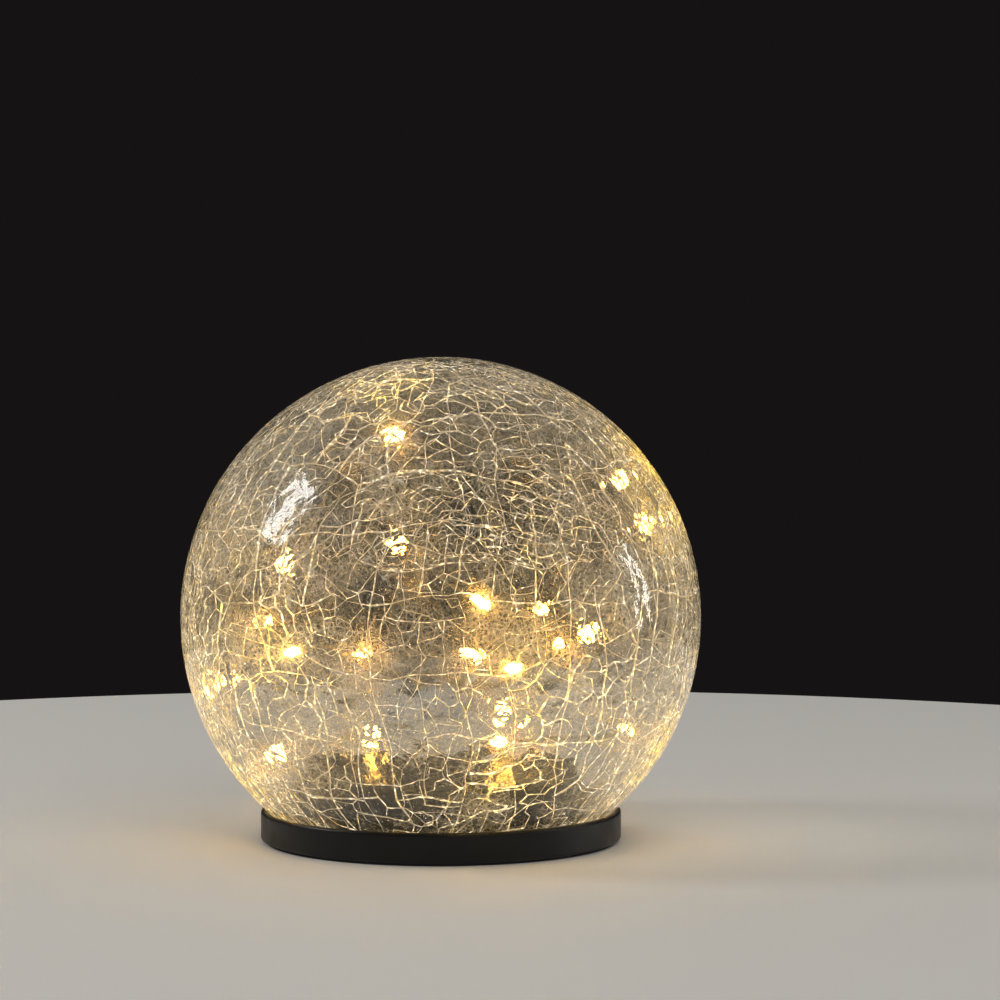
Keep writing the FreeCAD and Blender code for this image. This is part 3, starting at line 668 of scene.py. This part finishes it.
    def halos(self, tree: NodeTree) -> NodeSocket:
        """Adds the mask of the specks with painted glow, in a cloud round each light.

        Args:
            tree: the material's node tree.

        Returns:
            The mask.
        """
        glow = add_node(tree, "ShaderNodeAttribute", {"attribute_name": PAINTED_GLOW}).outputs["Fac"]
        ends = {"From Min": self.halo[0], "From Max": self.halo[1]}
        near = add_node(tree, "ShaderNodeMapRange", ends, {"Value": glow})
        links = {0: self.painted_glow_specks.mask(tree), 1: near.outputs[0]}
        cloud = add_node(tree, "ShaderNodeMath", {"operation": "MULTIPLY"}, links)
        settings = {"operation": "MULTIPLY", 1: self.halo_share}
        return add_node(tree, "ShaderNodeMath", settings, {0: cloud.outputs[0]}).outputs[0]

    def shade(self, tree: NodeTree) -> Node:
        """Adds clear and frosted glass, with the crazing and the painted halos over them.

        Args:
            tree: the material's node tree.

        Returns:
            The shader.
        """
        where = self.wander(tree)
        links = {"Normal": self.relief(tree, where)}
        settings = {"Base Color": linear(self.tint), "IOR": self.ior, "Transmission Weight": 1.0}
        faces = [
            add_node(tree, "ShaderNodeBsdfPrincipled", settings | {"Roughness": roughness}, links)
            for roughness in (self.smooth, self.frosted)
        ]
        links = {0: self.frosting(tree), 1: faces[0].outputs[0], 2: faces[1].outputs[0]}
        glass = add_node(tree, "ShaderNodeMixShader", None, links)

        pale = linear(self.light.pale)
        # the hairs and halo specks: a pale face with painted glow from the glow attribute, lit through
        # from behind
        settings = {"Base Color": pale, "Roughness": self.hair_roughness, "IOR": self.ior}
        lit = add_node(tree, "ShaderNodeBsdfPrincipled", settings, self.light.emission(tree))
        through = add_node(tree, "ShaderNodeBsdfTranslucent", {"Color": pale})
        links = {1: lit.outputs[0], 2: through.outputs[0]}
        hairs = add_node(tree, "ShaderNodeMixShader", {"Fac": self.hair_through}, links)
        links = {0: self.crazing(tree, where), 1: self.halos(tree)}
        hairs_and_painted_halos = add_node(tree, "ShaderNodeMath", {"operation": "MAXIMUM"}, links)
        links = {0: hairs_and_painted_halos.outputs[0], 1: glass.outputs[0], 2: hairs.outputs[0]}
        wall = add_node(tree, "ShaderNodeMixShader", None, links)
        return clear_to_lamps(tree, wall, self.tint)


@dataclass(frozen=True)
class FractureFace(Finish):
    """Faces of the cracks in the glass: pale and silky, and light from both sides shows in them.

    They also carry a painted glow, gold and strong near the lights, with painted sparkle.
    """

    # painted light: the cracks' glow and sparkle
    light: PaintedLampGlow = PaintedLampGlow("#DEDAD2", "#FFD058", rest=0.14, near=2.7, sparkle=9.0)
    through: float = 0.5

    def shade(self, tree: NodeTree) -> Node:
        """Adds a silky face with painted glow, with what shows through it from behind.

        Args:
            tree: the material's node tree.

        Returns:
            The shader.
        """
        pale = linear(self.light.pale)
        settings = {"Base Color": pale, "Roughness": 0.25, "IOR": 1.46}
        face = add_node(tree, "ShaderNodeBsdfPrincipled", settings, self.light.emission(tree))
        behind = add_node(tree, "ShaderNodeBsdfTranslucent", {"Color": pale})
        links = {1: face.outputs[0], 2: behind.outputs[0]}
        return add_node(tree, "ShaderNodeMixShader", {"Fac": self.through}, links)


@dataclass(frozen=True)
class LitResin(Finish):
    """Clear epoxy drop over a lit die: bright all through, and it lets its lamp's light out."""

    name: str = "lit_resin_drop"
    colour: str = "#FFD062"
    glow: float = 15.0

    def shade(self, tree: NodeTree) -> Node:
        """Adds a glossy, half clear drop that shines.

        Args:
            tree: the material's node tree.

        Returns:
            The shader.
        """
        settings = {
            "Base Color": linear(self.colour),
            "Roughness": 0.08,
            "IOR": 1.5,
            "Transmission Weight": 0.6,
            "Emission Color": linear(self.colour),
            "Emission Strength": self.glow,
        }
        drop = add_node(tree, "ShaderNodeBsdfPrincipled", settings)
        return clear_to_lamps(tree, drop, "#FFFFFF")


@dataclass(frozen=True)
class LitDie(Finish):
    """Phosphor on a light-emitting die, white hot to the eye."""

    name: str = "lit_phosphor_die"
    colour: str = "#FFE29C"
    glow: float = 50.0

    def shade(self, tree: NodeTree) -> Node:
        """Adds a matt face that shines.

        Args:
            tree: the material's node tree.

        Returns:
            The shader.
        """
        settings = {"Base Color": linear(self.colour), "Roughness": 0.5}
        settings |= {"Emission Color": linear(self.colour), "Emission Strength": self.glow}
        return add_node(tree, "ShaderNodeBsdfPrincipled", settings)


@dataclass(frozen=True)
class TableTop(Finish):
    """Plain matt table: pale from above, and clear from below so that the underside shows."""

    name: str = "pale_table"
    colour: str = "#B4B1AB"

    def shade(self, tree: NodeTree) -> Node:
        """Adds a matt face with a clear back.

        Args:
            tree: the material's node tree.

        Returns:
            The shader.
        """
        settings = {"Base Color": linear(self.colour), "Roughness": 0.8, "Specular IOR Level": 0.2}
        pale = add_node(tree, "ShaderNodeBsdfPrincipled", settings)
        clear = add_node(tree, "ShaderNodeBsdfTransparent")
        side = add_node(tree, "ShaderNodeNewGeometry")
        links = {0: side.outputs["Backfacing"], 1: pale.outputs[0], 2: clear.outputs[0]}
        return add_node(tree, "ShaderNodeMixShader", None, links)


class Black(Enum):
    """The black mouldings of the light."""

    BASE = MouldedPlastic("satin_black_abs", "#0C0B0C", "#121112", (0.36, 0.48), specular=0.3)
    DRUM = MouldedPlastic("smooth_black_abs", "#0F0E10", "#151416", (0.16, 0.3), 1.2, 0.02)
    CRADLE = MouldedPlastic("dark_grey_abs", "#242326", "#2B2A2D", (0.4, 0.5))
    RUBBER = MouldedPlastic("black_rubber", "#121212", "#1A1A1A", (0.6, 0.75), 0.25, 0.04)
    FOAM = MouldedPlastic("closed_cell_foam", "#202021", "#2D2D2E", (0.85, 0.95), 0.4, 0.15)
    LEAD = MouldedPlastic("black_pvc", "#101010", "#161616", (0.35, 0.45))
    CHIP = MouldedPlastic("moulded_epoxy", "#151515", "#1D1D1D", (0.5, 0.6), 0.2, 0.02)


# ---- glass ball --------------------------------------------------------------------------------
class SeedBall(Enum):
    """Balls whose corners are the middles of the crack cells."""

    EVEN = "cells about as tall as they are wide"
    TALL = "long upright cells, as where the glass was drawn down"


@dataclass
class CrackNet:
    """One network of cracks in the wall of the ball, as fine solid slivers.

    dropped is the share of the seed ball's corners that is left out, and merged_share the share of the
    cells' edges. Each pair of warps_mm and thinning is the width of a noise and how much it does: the
    first bends the cracks, and the second opens and closes them round their usual width.
    """

    name: str
    radius_mm: float
    width_mm: float
    keel_mm: float
    dropped: float
    seed: int
    start: SeedBall = SeedBall.EVEN
    scatter_mm: float = 3.0
    merged_share: float = 0.2
    cuts: int = 4
    warps_mm: tuple[tuple[float, float], ...] = ((28.0, 4.0), (7.0, 1.1), (2.0, 0.3))
    thinnest: float = 0.3
    usual: float = 0.5
    thinning: tuple[tuple[float, float], ...] = ((18.0, 0.9), (5.0, 0.5))
    lean_mm: float = 0.5
    lean_size_mm: float = 12.0
    spot_mm: tuple[float, float, float] = (0.0, 0.0, 0.0)
    spot_reach_mm: float = 0.0
    ragged: float = 0.5
    ragged_size_mm: float = 16.0
    squeeze: float = 1.0
    net: Object = field(init=False, repr=False)

    def cells(self) -> None:
        """Covers a ball with irregular cells, each a many-sided face."""
        bpy.ops.object.select_all(action="DESELECT")
        radius = self.radius_mm * MM
        if self.start is SeedBall.TALL:
            bpy.ops.mesh.primitive_uv_sphere_add(segments=44, ring_count=12, radius=radius)
        else:
            bpy.ops.mesh.primitive_ico_sphere_add(subdivisions=5, radius=radius)
        self.net = bpy.context.object
        open_mesh(self.net, "VERT", "DESELECT")
        bpy.ops.mesh.select_random(ratio=self.dropped, seed=self.seed)
        bpy.ops.mesh.delete(type="VERT")
        bpy.ops.mesh.select_all(action="SELECT")
        scatter = self.scatter_mm * MM
        bpy.ops.transform.vertex_random(offset=scatter, seed=self.seed, wait_for_input=False)
        close_mesh()
        points = vertex_array(self.net)
        points[:, 2] += (self.squeeze - 1) * (points[:, 2] - self.spot_mm[2] * MM)
        set_vertices(self.net, points)
        self.on_sphere()
        open_mesh(self.net, "VERT", "SELECT")
        bpy.ops.mesh.convex_hull()
        close_mesh()
        self.fix_order()
        self.net.modifiers.new("cells", "NODES").node_group = dual_cells()
        finish_modifiers(self.net)

    def fix_order(self) -> None:
        """Gives the hull's points and faces a fixed order, as theirs can differ from run to run."""
        points = vertex_array(self.net)
        order = np.lexsort(points.T)
        ranks = np.argsort(order)
        faces = []
        for face in self.net.data.polygons:
            corners = [int(ranks[corner]) for corner in face.vertices]
            first = corners.index(min(corners))
            faces.append(corners[first:] + corners[:first])
        self.net.data = bpy.data.meshes.new(self.name)
        self.net.data.from_pydata(points[order].tolist(), [], sorted(faces))

    def on_sphere(self) -> None:
        """Puts every point of the net back on the ball."""
        points = vertex_array(self.net)
        points *= self.radius_mm * MM / np.linalg.norm(points, axis=1)[:, None]
        set_vertices(self.net, points)

    def merge_cells(self) -> None:
        """Joins neighbouring cells across a share of their edges, with no two edges at one corner.

        The edges are taken in random order, and in a squeezed net the steepest ones come first.
        """
        open_mesh(self.net, "EDGE", "DESELECT")
        mesh = bmesh.from_edit_mesh(self.net.data)
        edges = list(mesh.edges)
        random.Random(self.seed).shuffle(edges)
        if self.squeeze < 1:
            edges.sort(key=levelness)
        wanted, taken = int(self.merged_share * len(edges)), set()
        for edge in edges:
            if wanted and not taken.intersection(edge.verts):
                edge.select = True
                taken.update(edge.verts)
                wanted -= 1
        bmesh.update_edit_mesh(self.net.data)
        bpy.ops.mesh.dissolve_edges(use_verts=False)
        close_mesh()

    def bend_edges(self) -> None:
        """Cuts each edge into short runs and warps the net, so that cracks curve and wander."""
        mesh = bmesh.new()
        mesh.from_mesh(self.net.data)
        bmesh.ops.subdivide_edges(mesh, edges=mesh.edges[:], cuts=self.cuts, use_grid_fill=False)
        for vertex in mesh.verts:
            place = vertex.co.copy()
            for size_mm, reach_mm in self.warps_mm:
                offset = Vector((self.seed, size_mm, reach_mm))
                vertex.co += noise.noise_vector(place / (size_mm * MM) + offset) * reach_mm * MM
        mesh.to_mesh(self.net.data)
        mesh.free()
        self.on_sphere()

    def keep_spot(self) -> None:
        """Leaves only the cells round the spot, with a ragged border."""
        open_mesh(self.net, "FACE", "DESELECT")
        mesh = bmesh.from_edit_mesh(self.net.data)
        for face in mesh.faces:
            middle = face.calc_center_median()
            jag = self.ragged * noise.noise(middle / (self.ragged_size_mm * MM))
            away = (middle - Vector(self.spot_mm) * MM).length
            face.select = away > self.spot_reach_mm * (1 + jag) * MM
        bmesh.update_edit_mesh(self.net.data)
        bpy.ops.mesh.delete(type="FACE")
        close_mesh()

    def weigh(self) -> None:
        """Writes how open the crack is at each point, as a vertex group."""
        group = self.net.vertex_groups.new(name="open")
        for vertex in self.net.data.vertices:
            share = self.usual
            for axis, (size_mm, depth) in enumerate(self.thinning):
                offset = Vector()
                offset[axis] = self.seed
                share += depth * noise.noise(vertex.co / (size_mm * MM) + offset)
            group.add([vertex.index], min(1.0, max(self.thinnest, share)), "REPLACE")

    def slivers(self) -> None:
        """Turns the edges into solid slivers that lean and go deeper than they are wide."""
        wire = self.net.modifiers.new("slivers", "WIREFRAME")
        wire.thickness = self.width_mm * MM
        wire.use_even_offset = False
        wire.use_boundary = True
        wire.vertex_group = "open"
        wire.thickness_vertex_group = 0.0
        finish_modifiers(self.net)
        points = vertex_array(self.net)
        inner = np.linalg.norm(points, axis=1) < self.radius_mm * MM
        for row in np.nonzero(inner)[0]:
            place = Vector(points[row])
            outward = place.normalized()
            offset = Vector((0, 0, self.seed))
            lean = noise.noise_vector(place / (self.lean_size_mm * MM) + offset)
            lean -= outward * lean.dot(outward)
            points[row] = place - outward * self.keel_mm * MM + lean * self.lean_mm * MM
        set_vertices(self.net, points)

    def build(self, centre: Vector, floor: float, lights: Sequence[Vector]) -> Object:
        """Builds the network in its place.

        Args:
            centre: the middle of the ball.
            floor: the height at which the cracks end, just above the ball's ground edge.
            lights: where the lights are, for the glow.

        Returns:
            The finished mesh object.
        """
        noise.seed_set(self.seed)
        self.cells()
        self.merge_cells()
        self.bend_edges()
        cut_below(self.net, floor - centre.z)
        if self.spot_reach_mm:
            self.keep_spot()
        self.weigh()
        self.slivers()
        settle(self.net, centre)
        write_painted_glow(self.net, lights)
        return self.net


def levelness(edge: bmesh.types.BMEdge) -> float:
    """How level an edge of a net lies, from -1 where it is upright to 0 where it is level."""
    return -abs(edge.verts[0].co.z - edge.verts[1].co.z) / edge.calc_length()


def dual_cells() -> GeometryNodeTree:
    """Makes the node group that swaps a mesh's faces and corners, once.

    Returns:
        The node group.
    """
    name = "cells_from_corners"
    if name in bpy.data.node_groups:
        return bpy.data.node_groups[name]
    tree = bpy.data.node_groups.new(name, "GeometryNodeTree")
    for way in ("INPUT", "OUTPUT"):
        tree.interface.new_socket("Geometry", in_out=way, socket_type="NodeSocketGeometry")
    start = add_node(tree, "NodeGroupInput")
    dual = add_node(tree, "GeometryNodeDualMesh", None, {0: start.outputs[0]})
    add_node(tree, "NodeGroupOutput", None, {0: dual.outputs[0]})
    return tree


def write_painted_glow(piece: Object, lights: Sequence[Vector], reach_mm: float = 9.5) -> None:
    """Writes at each point how strongly the lights shine on it, from 0 to 1: the measure the painted
    glow is drawn from.

    Each light's share falls with the cube of the distance.

    Args:
        piece: the mesh object, in its place.
        lights: where the lights are.
        reach_mm: distance at which one light alone gives half the full glow.
    """
    points = vertex_array(piece)
    total = np.zeros(len(points))
    for light in lights:
        distance = np.linalg.norm(points - np.array(light), axis=1)
        total += (reach_mm * MM / distance) ** 3
    glow = total / (1 + total)
    layer = piece.data.attributes.new(PAINTED_GLOW, "FLOAT", "POINT")
    layer.data.foreach_set("value", glow)


@dataclass
class GlassBall:
    """The blown ball: its wavy wall, four networks of cracks in it, and tiny chips between them."""

    lights: Sequence[Vector]
    body: str = "base"
    slot: str = "crackle_glass"
    wall_mm: float = 2.5
    slack_mm: float = 0.12
    wave_mm: float = 0.08
    wave_size_mm: float = 14.0
    crack_gap_mm: float = 0.9
    chip_mm: float = 0.12
    chip_count: int = 7000
    chip_radii_mm: tuple[float, float] = (72.9, 74.4)
    chip_sizes: tuple[float, float] = (0.5, 1.3)
    chip_gap: float = 0.02
    chip_seed: int = 11

    def __post_init__(self) -> None:
        """Reads the ball's place and size from its CAD node."""
        low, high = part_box("glass_globe")
        self.radius = (high.x - low.x) / 2
        self.centre = Vector((0, 0, high.z - self.radius))
        self.floor = low.z

    def nets(self) -> list[CrackNet]:
        """Lists the networks: an outer and an inner one, long upright cracks and a patch of arcs.

        Returns:
            The networks, in order.
        """
        outer = CrackNet("cracks_outer", 74.4, width_mm=0.32, keel_mm=0.5, dropped=0.34, seed=3)
        inner = CrackNet("cracks_inner", 73.0, width_mm=0.18, keel_mm=0.15, dropped=0.6, seed=8)
        inner.cuts, inner.thinnest = 3, 0.25
        upright = CrackNet("cracks_long", 74.1, width_mm=0.42, keel_mm=0.7, dropped=0.1, seed=5)
        upright.start, upright.scatter_mm = SeedBall.TALL, 4.5
        level = CrackNet("cracks_level", 74.2, width_mm=0.26, keel_mm=0.3, dropped=0.3, seed=12)
        level.scatter_mm, level.merged_share, level.squeeze = 2.0, 0.5, 0.3
        level.warps_mm = ((28.0, 4.0), (9.0, 0.8))
        level.spot_mm, level.spot_reach_mm = (12.0, -60.0, 42.0), 38.0
        return [outer, inner, upright, level]

    def wall(self) -> Object:
        """Models the wall: a sphere, cut flat at its ground edge, slightly wavy, then thickened.

        Returns:
            The finished mesh object.
        """
        bpy.ops.object.select_all(action="DESELECT")
        radius = self.radius - self.slack_mm * MM
        bpy.ops.mesh.primitive_ico_sphere_add(subdivisions=6, radius=radius)
        ball = bpy.context.object
        cut_below(ball, self.floor - self.centre.z)
        points = vertex_array(ball)
        for row in points:
            wave = noise.noise(Vector(row) / (self.wave_size_mm * MM)) * self.wave_mm * MM
            row[:2] *= 1 + wave / radius
        set_vertices(ball, points)
        skin = ball.modifiers.new("wall", "SOLIDIFY")
        skin.thickness = self.wall_mm * MM
        skin.offset = -1
        finish_modifiers(ball)
        bpy.ops.object.shade_smooth_by_angle(angle=math.radians(40))
        settle(ball, self.centre)
        return ball

    def chips(self) -> Object:
        """Scatters tiny flakes, chips of the fractures, through the wall.

        Returns:
            The finished mesh object.
        """
        bpy.ops.object.select_all(action="DESELECT")
        bpy.ops.mesh.primitive_ico_sphere_add(subdivisions=1, radius=self.chip_mm * MM)
        flake = bpy.context.object
        shape = vertex_array(flake)
        faces = np.array([tuple(face.vertices) for face in flake.data.polygons])
        bpy.data.objects.remove(flake)
        draws = np.random.default_rng(self.chip_seed)
        ways = draws.normal(size=(self.chip_count * 2, 3))
        ways /= np.linalg.norm(ways, axis=1)[:, None]
        lowest = (self.floor - self.centre.z) / self.radius + self.chip_gap
        ways = ways[ways[:, 2] > lowest][: self.chip_count]
        radii = draws.uniform(*self.chip_radii_mm, len(ways)) * MM
        sizes = draws.uniform(*self.chip_sizes, (len(ways), 1, 3))
        points = shape[None] * sizes + (ways * radii[:, None])[:, None]
        rows = faces[None] + (np.arange(len(ways)) * len(shape))[:, None, None]
        mesh = bpy.data.meshes.new("glints")
        mesh.from_pydata(points.reshape(-1, 3).tolist(), [], rows.reshape(-1, 3).tolist())
        piece = bpy.data.objects.new("glints", mesh)
        bpy.context.scene.collection.objects.link(piece)
        settle(piece, self.centre)
        write_painted_glow(piece, self.lights)
        return piece

    def build(self) -> None:
        """Builds and dresses the ball."""
        wall = self.wall()
        write_painted_glow(wall, self.lights)
        wear_piece(wall, "crackle_ball", BlownGlass().make(), self.body)
        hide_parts("glass_globe")
        fracture = FractureFace("fracture_face").make()
        for net in self.nets():
            piece = net.build(self.centre, self.floor + self.crack_gap_mm * MM, self.lights)
            wear_piece(piece, net.name, fracture, self.body)
        # painted glints: the chips glow even far from the lights, and brighter near them
        painted_glint_light = PaintedLampGlow("#F4F1EA", "#FFE7A6", rest=0.35, near=4.0, sparkle=7.0)
        finish = FractureFace("glass_chip", painted_glint_light).make()
        wear_piece(self.chips(), "glass_glints", finish, self.body)


# ---- pieces shown as the CAD has them ----------------------------------------------------------
Coats = list[tuple[Sequence[str], Finish]]


@dataclass
class DressedSolids:
    """A sub-assembly whose CAD solids are shown as they are, each in its finish."""

    def coats(self) -> Coats:
        """Lists the nodes with their finishes."""
        raise NotImplementedError

    def build(self) -> None:
        """Dresses the nodes."""
        for nodes, finish in self.coats():
            dress(nodes, finish.make())


@dataclass
class LightString(DressedSolids):
    """The wire with its resin drops, and a small warm lamp in each."""

    lamp_watts: float = 0.003
    lamp_colour: str = "#FFDA88"
    lamp_radius_mm: float = 0.8
    copper: Finish = PlatedMetal("tinned_copper", "#A39A86", "#BDB49E", (0.3, 0.45))

    def places(self) -> list[Vector]:
        """Where the lights are."""
        return [box_middle(name) for name in numbered("led_bulb_")]

    def coats(self) -> Coats:
        """Lists the nodes with their finishes."""
        return [
            (numbered("led_bulb_"), LitResin()),
            (["led_dies"], LitDie()),
            (["string_wire"], self.copper),
            (["wire_grommet"], Black.RUBBER.value),
        ]

    def lamps(self) -> None:
        """Puts a lamp at each die."""
        for number, place in enumerate(self.places()):
            light = bpy.data.lights.new(f"lamp_{number + 1}", "POINT")
            light.energy = self.lamp_watts
            light.color = linear(self.lamp_colour)[:3]
            light.shadow_soft_size = self.lamp_radius_mm * MM
            holder = bpy.data.objects.new(light.name, light)
            holder.location = place
            bpy.context.scene.collection.objects.link(holder)

    def build(self) -> None:
        """Dresses the string and lights it."""
        super().build()
        self.lamps()


@dataclass
class Base(DressedSolids):
    """The black dish with its feet, seals, screws, door and switch knob."""

    silicone: Finish = MouldedPlastic(
        "clear_silicone", "#8E8C86", "#A3A19B", (0.3, 0.45), 1.5, grain_depth_mm=0.05, ior=1.41
    )
    zinc: Finish = PlatedMetal("zinc_plated_steel", "#9A9C9E", "#B4B6B8", (0.25, 0.4))
    brass: Finish = PlatedMetal("turned_brass", "#B08A45", "#C9A35C", (0.2, 0.3))
    grey: Finish = MouldedPlastic("light_grey_abs", "#8B8B89", "#979795", (0.4, 0.5))

    def coats(self) -> Coats:
        """Lists the nodes with their finishes."""
        return [
            (["glass_seal", "silicone_bead"], self.silicone),
            (["base_tray", "battery_door"], Black.BASE.value),
            (numbered("rubber_foot_"), Black.RUBBER.value),
            (["door_gasket"], Black.FOAM.value),
            (["housing_screws", "door_screw", "board_screws"], self.zinc),
            (["door_insert"], self.brass),
            (["switch_knob"], self.grey),
        ]


@dataclass
class BatteryBay(DressedSolids):
    """Drum, cradle, cells and contacts. Neighbouring cells point opposite ways."""

    nickel: Finish = PlatedMetal("nickel_plated_steel", "#A7A298", "#C2BDB2", (0.15, 0.3))

    def coats(self) -> Coats:
        """Lists the nodes with their finishes.

        Returns:
            Names and finishes, in order.
        """
        coats = [
            (["battery_drum"], Black.DRUM.value),
            (["battery_cradle"], Black.CRADLE.value),
            (numbered("contact_"), self.nickel),
        ]
        for number, name in enumerate(numbered("battery_cell_")):
            low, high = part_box(name)
            toward = 1 if number % 2 == 0 else -1
            positive = high.x if toward > 0 else low.x
            coats.append(([name], CellSleeve(f"cell_sleeve_{number + 1}", positive, toward)))
        return coats


@dataclass
class Electronics(DressedSolids):
    """Board, its parts, the switch and the leads."""

    ceramic: Finish = MouldedPlastic("chip_resistor", "#2A2724", "#3B3733", (0.4, 0.6))
    aluminium: Finish = PlatedMetal("drawn_aluminium", "#A9ABAE", "#C0C2C4", (0.25, 0.4))
    tin: Finish = PlatedMetal("tin_plate", "#8F9193", "#A7A9AB", (0.3, 0.45))
    red: Finish = MouldedPlastic("red_pvc", "#8E1512", "#A81D18", (0.35, 0.45))

    def coats(self) -> Coats:
        """Lists the nodes with their finishes."""
        return [
            (["driver_board"], SolderMask()),
            (["timer_chip"], Black.CHIP.value),
            (["board_resistors"], self.ceramic),
            (["board_capacitor"], self.aluminium),
            (["slide_switch"], self.tin),
            (["lead_positive"], self.red),
            (["lead_negative"], Black.LEAD.value),
        ]


# ---- studio ------------------------------------------------------------------------------------
@dataclass(frozen=True)
class Softbox:
    """A soft lamp that faces the ball. Glass never shows it, and gloss only where shows is set."""

    name: str
    place: tuple[float, float, float]
    size: tuple[float, float]
    watts: float
    shows: bool
    aim_height: float = 0.065

    def build(self) -> None:
        """Adds the lamp."""
        light = bpy.data.lights.new(self.name, "AREA")
        light.shape = "RECTANGLE"
        light.size, light.size_y = self.size
        light.energy = self.watts
        holder = bpy.data.objects.new(self.name, light)
        holder.location = self.place
        aim = Vector((0, 0, self.aim_height)) - Vector(self.place)
        holder.rotation_euler = aim.to_track_quat("-Z", "Y").to_euler()
        holder.visible_glossy = self.shows
        holder.visible_transmission = False
        bpy.context.scene.collection.objects.link(holder)


@dataclass
class Studio:
    """Pale table, dark surroundings, soft lamps and the camera."""

    table_radius: float = 0.42
    opening_radius: float = 0.0505
    backdrop: str = "#151314"
    ambient: float = 0.62
    lamps: tuple[Softbox, ...] = (
        Softbox("softbox_left", (-0.97, 0.0, 0.74), (0.26, 0.44), watts=5.2, shows=True),
        Softbox("strip_right", (1.1, 0.1, 0.25), (0.07, 0.5), watts=1.6, shows=True),
        Softbox("fill_below", (0.35, -0.5, -0.9), (0.9, 0.9), watts=9.0, shows=False),
        Softbox("fill_front", (0.5, -1.3, 1.2), (1.2, 1.2), watts=9.0, shows=False),
    )
    distance: float = 1.0
    camera_height: float = 0.1467
    focal_px: float = 3464.0
    image_px: float = 1000.0
    centre_px: tuple[float, float] = (440.8, 616.5)

    def floor(self) -> None:
        """Models the table top as a thin ring, open under the base."""
        bpy.ops.object.select_all(action="DESELECT")
        radius = self.table_radius
        bpy.ops.mesh.primitive_circle_add(vertices=128, radius=radius, fill_type="NGON")
        top = bpy.context.object
        open_mesh(top, "FACE", "SELECT")
        bpy.ops.mesh.inset(thickness=radius - self.opening_radius)
        bpy.ops.mesh.delete(type="FACE")
        close_mesh()
        top.name = "table_top"
        top.data.materials.append(TableTop().make())

    def world(self) -> None:
        """Makes even soft light, with a plain dark surround where camera, glass or gloss see it."""
        world = bpy.data.worlds.new("studio")
        bpy.context.scene.world = world
        world.use_nodes = True
        tree = world.node_tree
        tree.nodes.clear()
        settings = {"Color": (1, 1, 1, 1), "Strength": self.ambient}
        even = add_node(tree, "ShaderNodeBackground", settings)
        settings = {"Color": linear(self.backdrop), "Strength": 1.0}
        dark = add_node(tree, "ShaderNodeBackground", settings)
        rays = add_node(tree, "ShaderNodeLightPath")
        seen = rays.outputs["Is Camera Ray"]
        for kind in ("Is Glossy Ray", "Is Transmission Ray"):
            links = {0: seen, 1: rays.outputs[kind]}
            seen = add_node(tree, "ShaderNodeMath", {"operation": "MAXIMUM"}, links).outputs[0]
        links = {0: seen, 1: even.outputs[0], 2: dark.outputs[0]}
        mix = add_node(tree, "ShaderNodeMixShader", None, links)
        add_node(tree, "ShaderNodeOutputWorld", None, {"Surface": mix.outputs[0]})

    def camera(self, target: Vector) -> None:
        """Sets the camera so that the ball's middle falls where the photograph has it.

        Args:
            target: the ball's middle.
        """
        camera = bpy.data.cameras.new("camera")
        camera.sensor_width = 36.0
        camera.lens = camera.sensor_width * self.focal_px / self.image_px
        camera.clip_start, camera.clip_end = 0.05, 20.0
        holder = bpy.data.objects.new("camera", camera)
        rise = self.camera_height - target.z
        back = math.sqrt(self.distance**2 - rise**2)
        holder.location = (0, -back, self.camera_height)
        right = math.atan((self.image_px / 2 - self.centre_px[0]) / self.focal_px)
        up = math.atan((self.centre_px[1] - self.image_px / 2) / self.focal_px)
        tilt = math.atan2(-rise, back) + up
        holder.rotation_euler = (math.pi / 2 + tilt, 0, -right)
        bpy.context.scene.collection.objects.link(holder)
        bpy.context.scene.camera = holder

    def build(self, target: Vector) -> None:
        """Builds the studio round the ball.

        Args:
            target: the ball's middle.
        """
        self.camera(target)
        self.floor()
        self.world()
        for lamp in self.lamps:
            lamp.build()
        bpy.context.scene.view_settings.view_transform = "Standard"


def main() -> None:
    """Builds and dresses the light, sets up the studio and reports each piece."""
    logging.basicConfig(level=logging.INFO, format="%(name)s %(message)s")
    string = LightString()
    ball = GlassBall(string.places())
    ball.build()
    for part in (string, Base(), BatteryBay(), Electronics()):
        part.build()
    Studio().build(ball.centre)


if __name__ == "__main__":
    main()
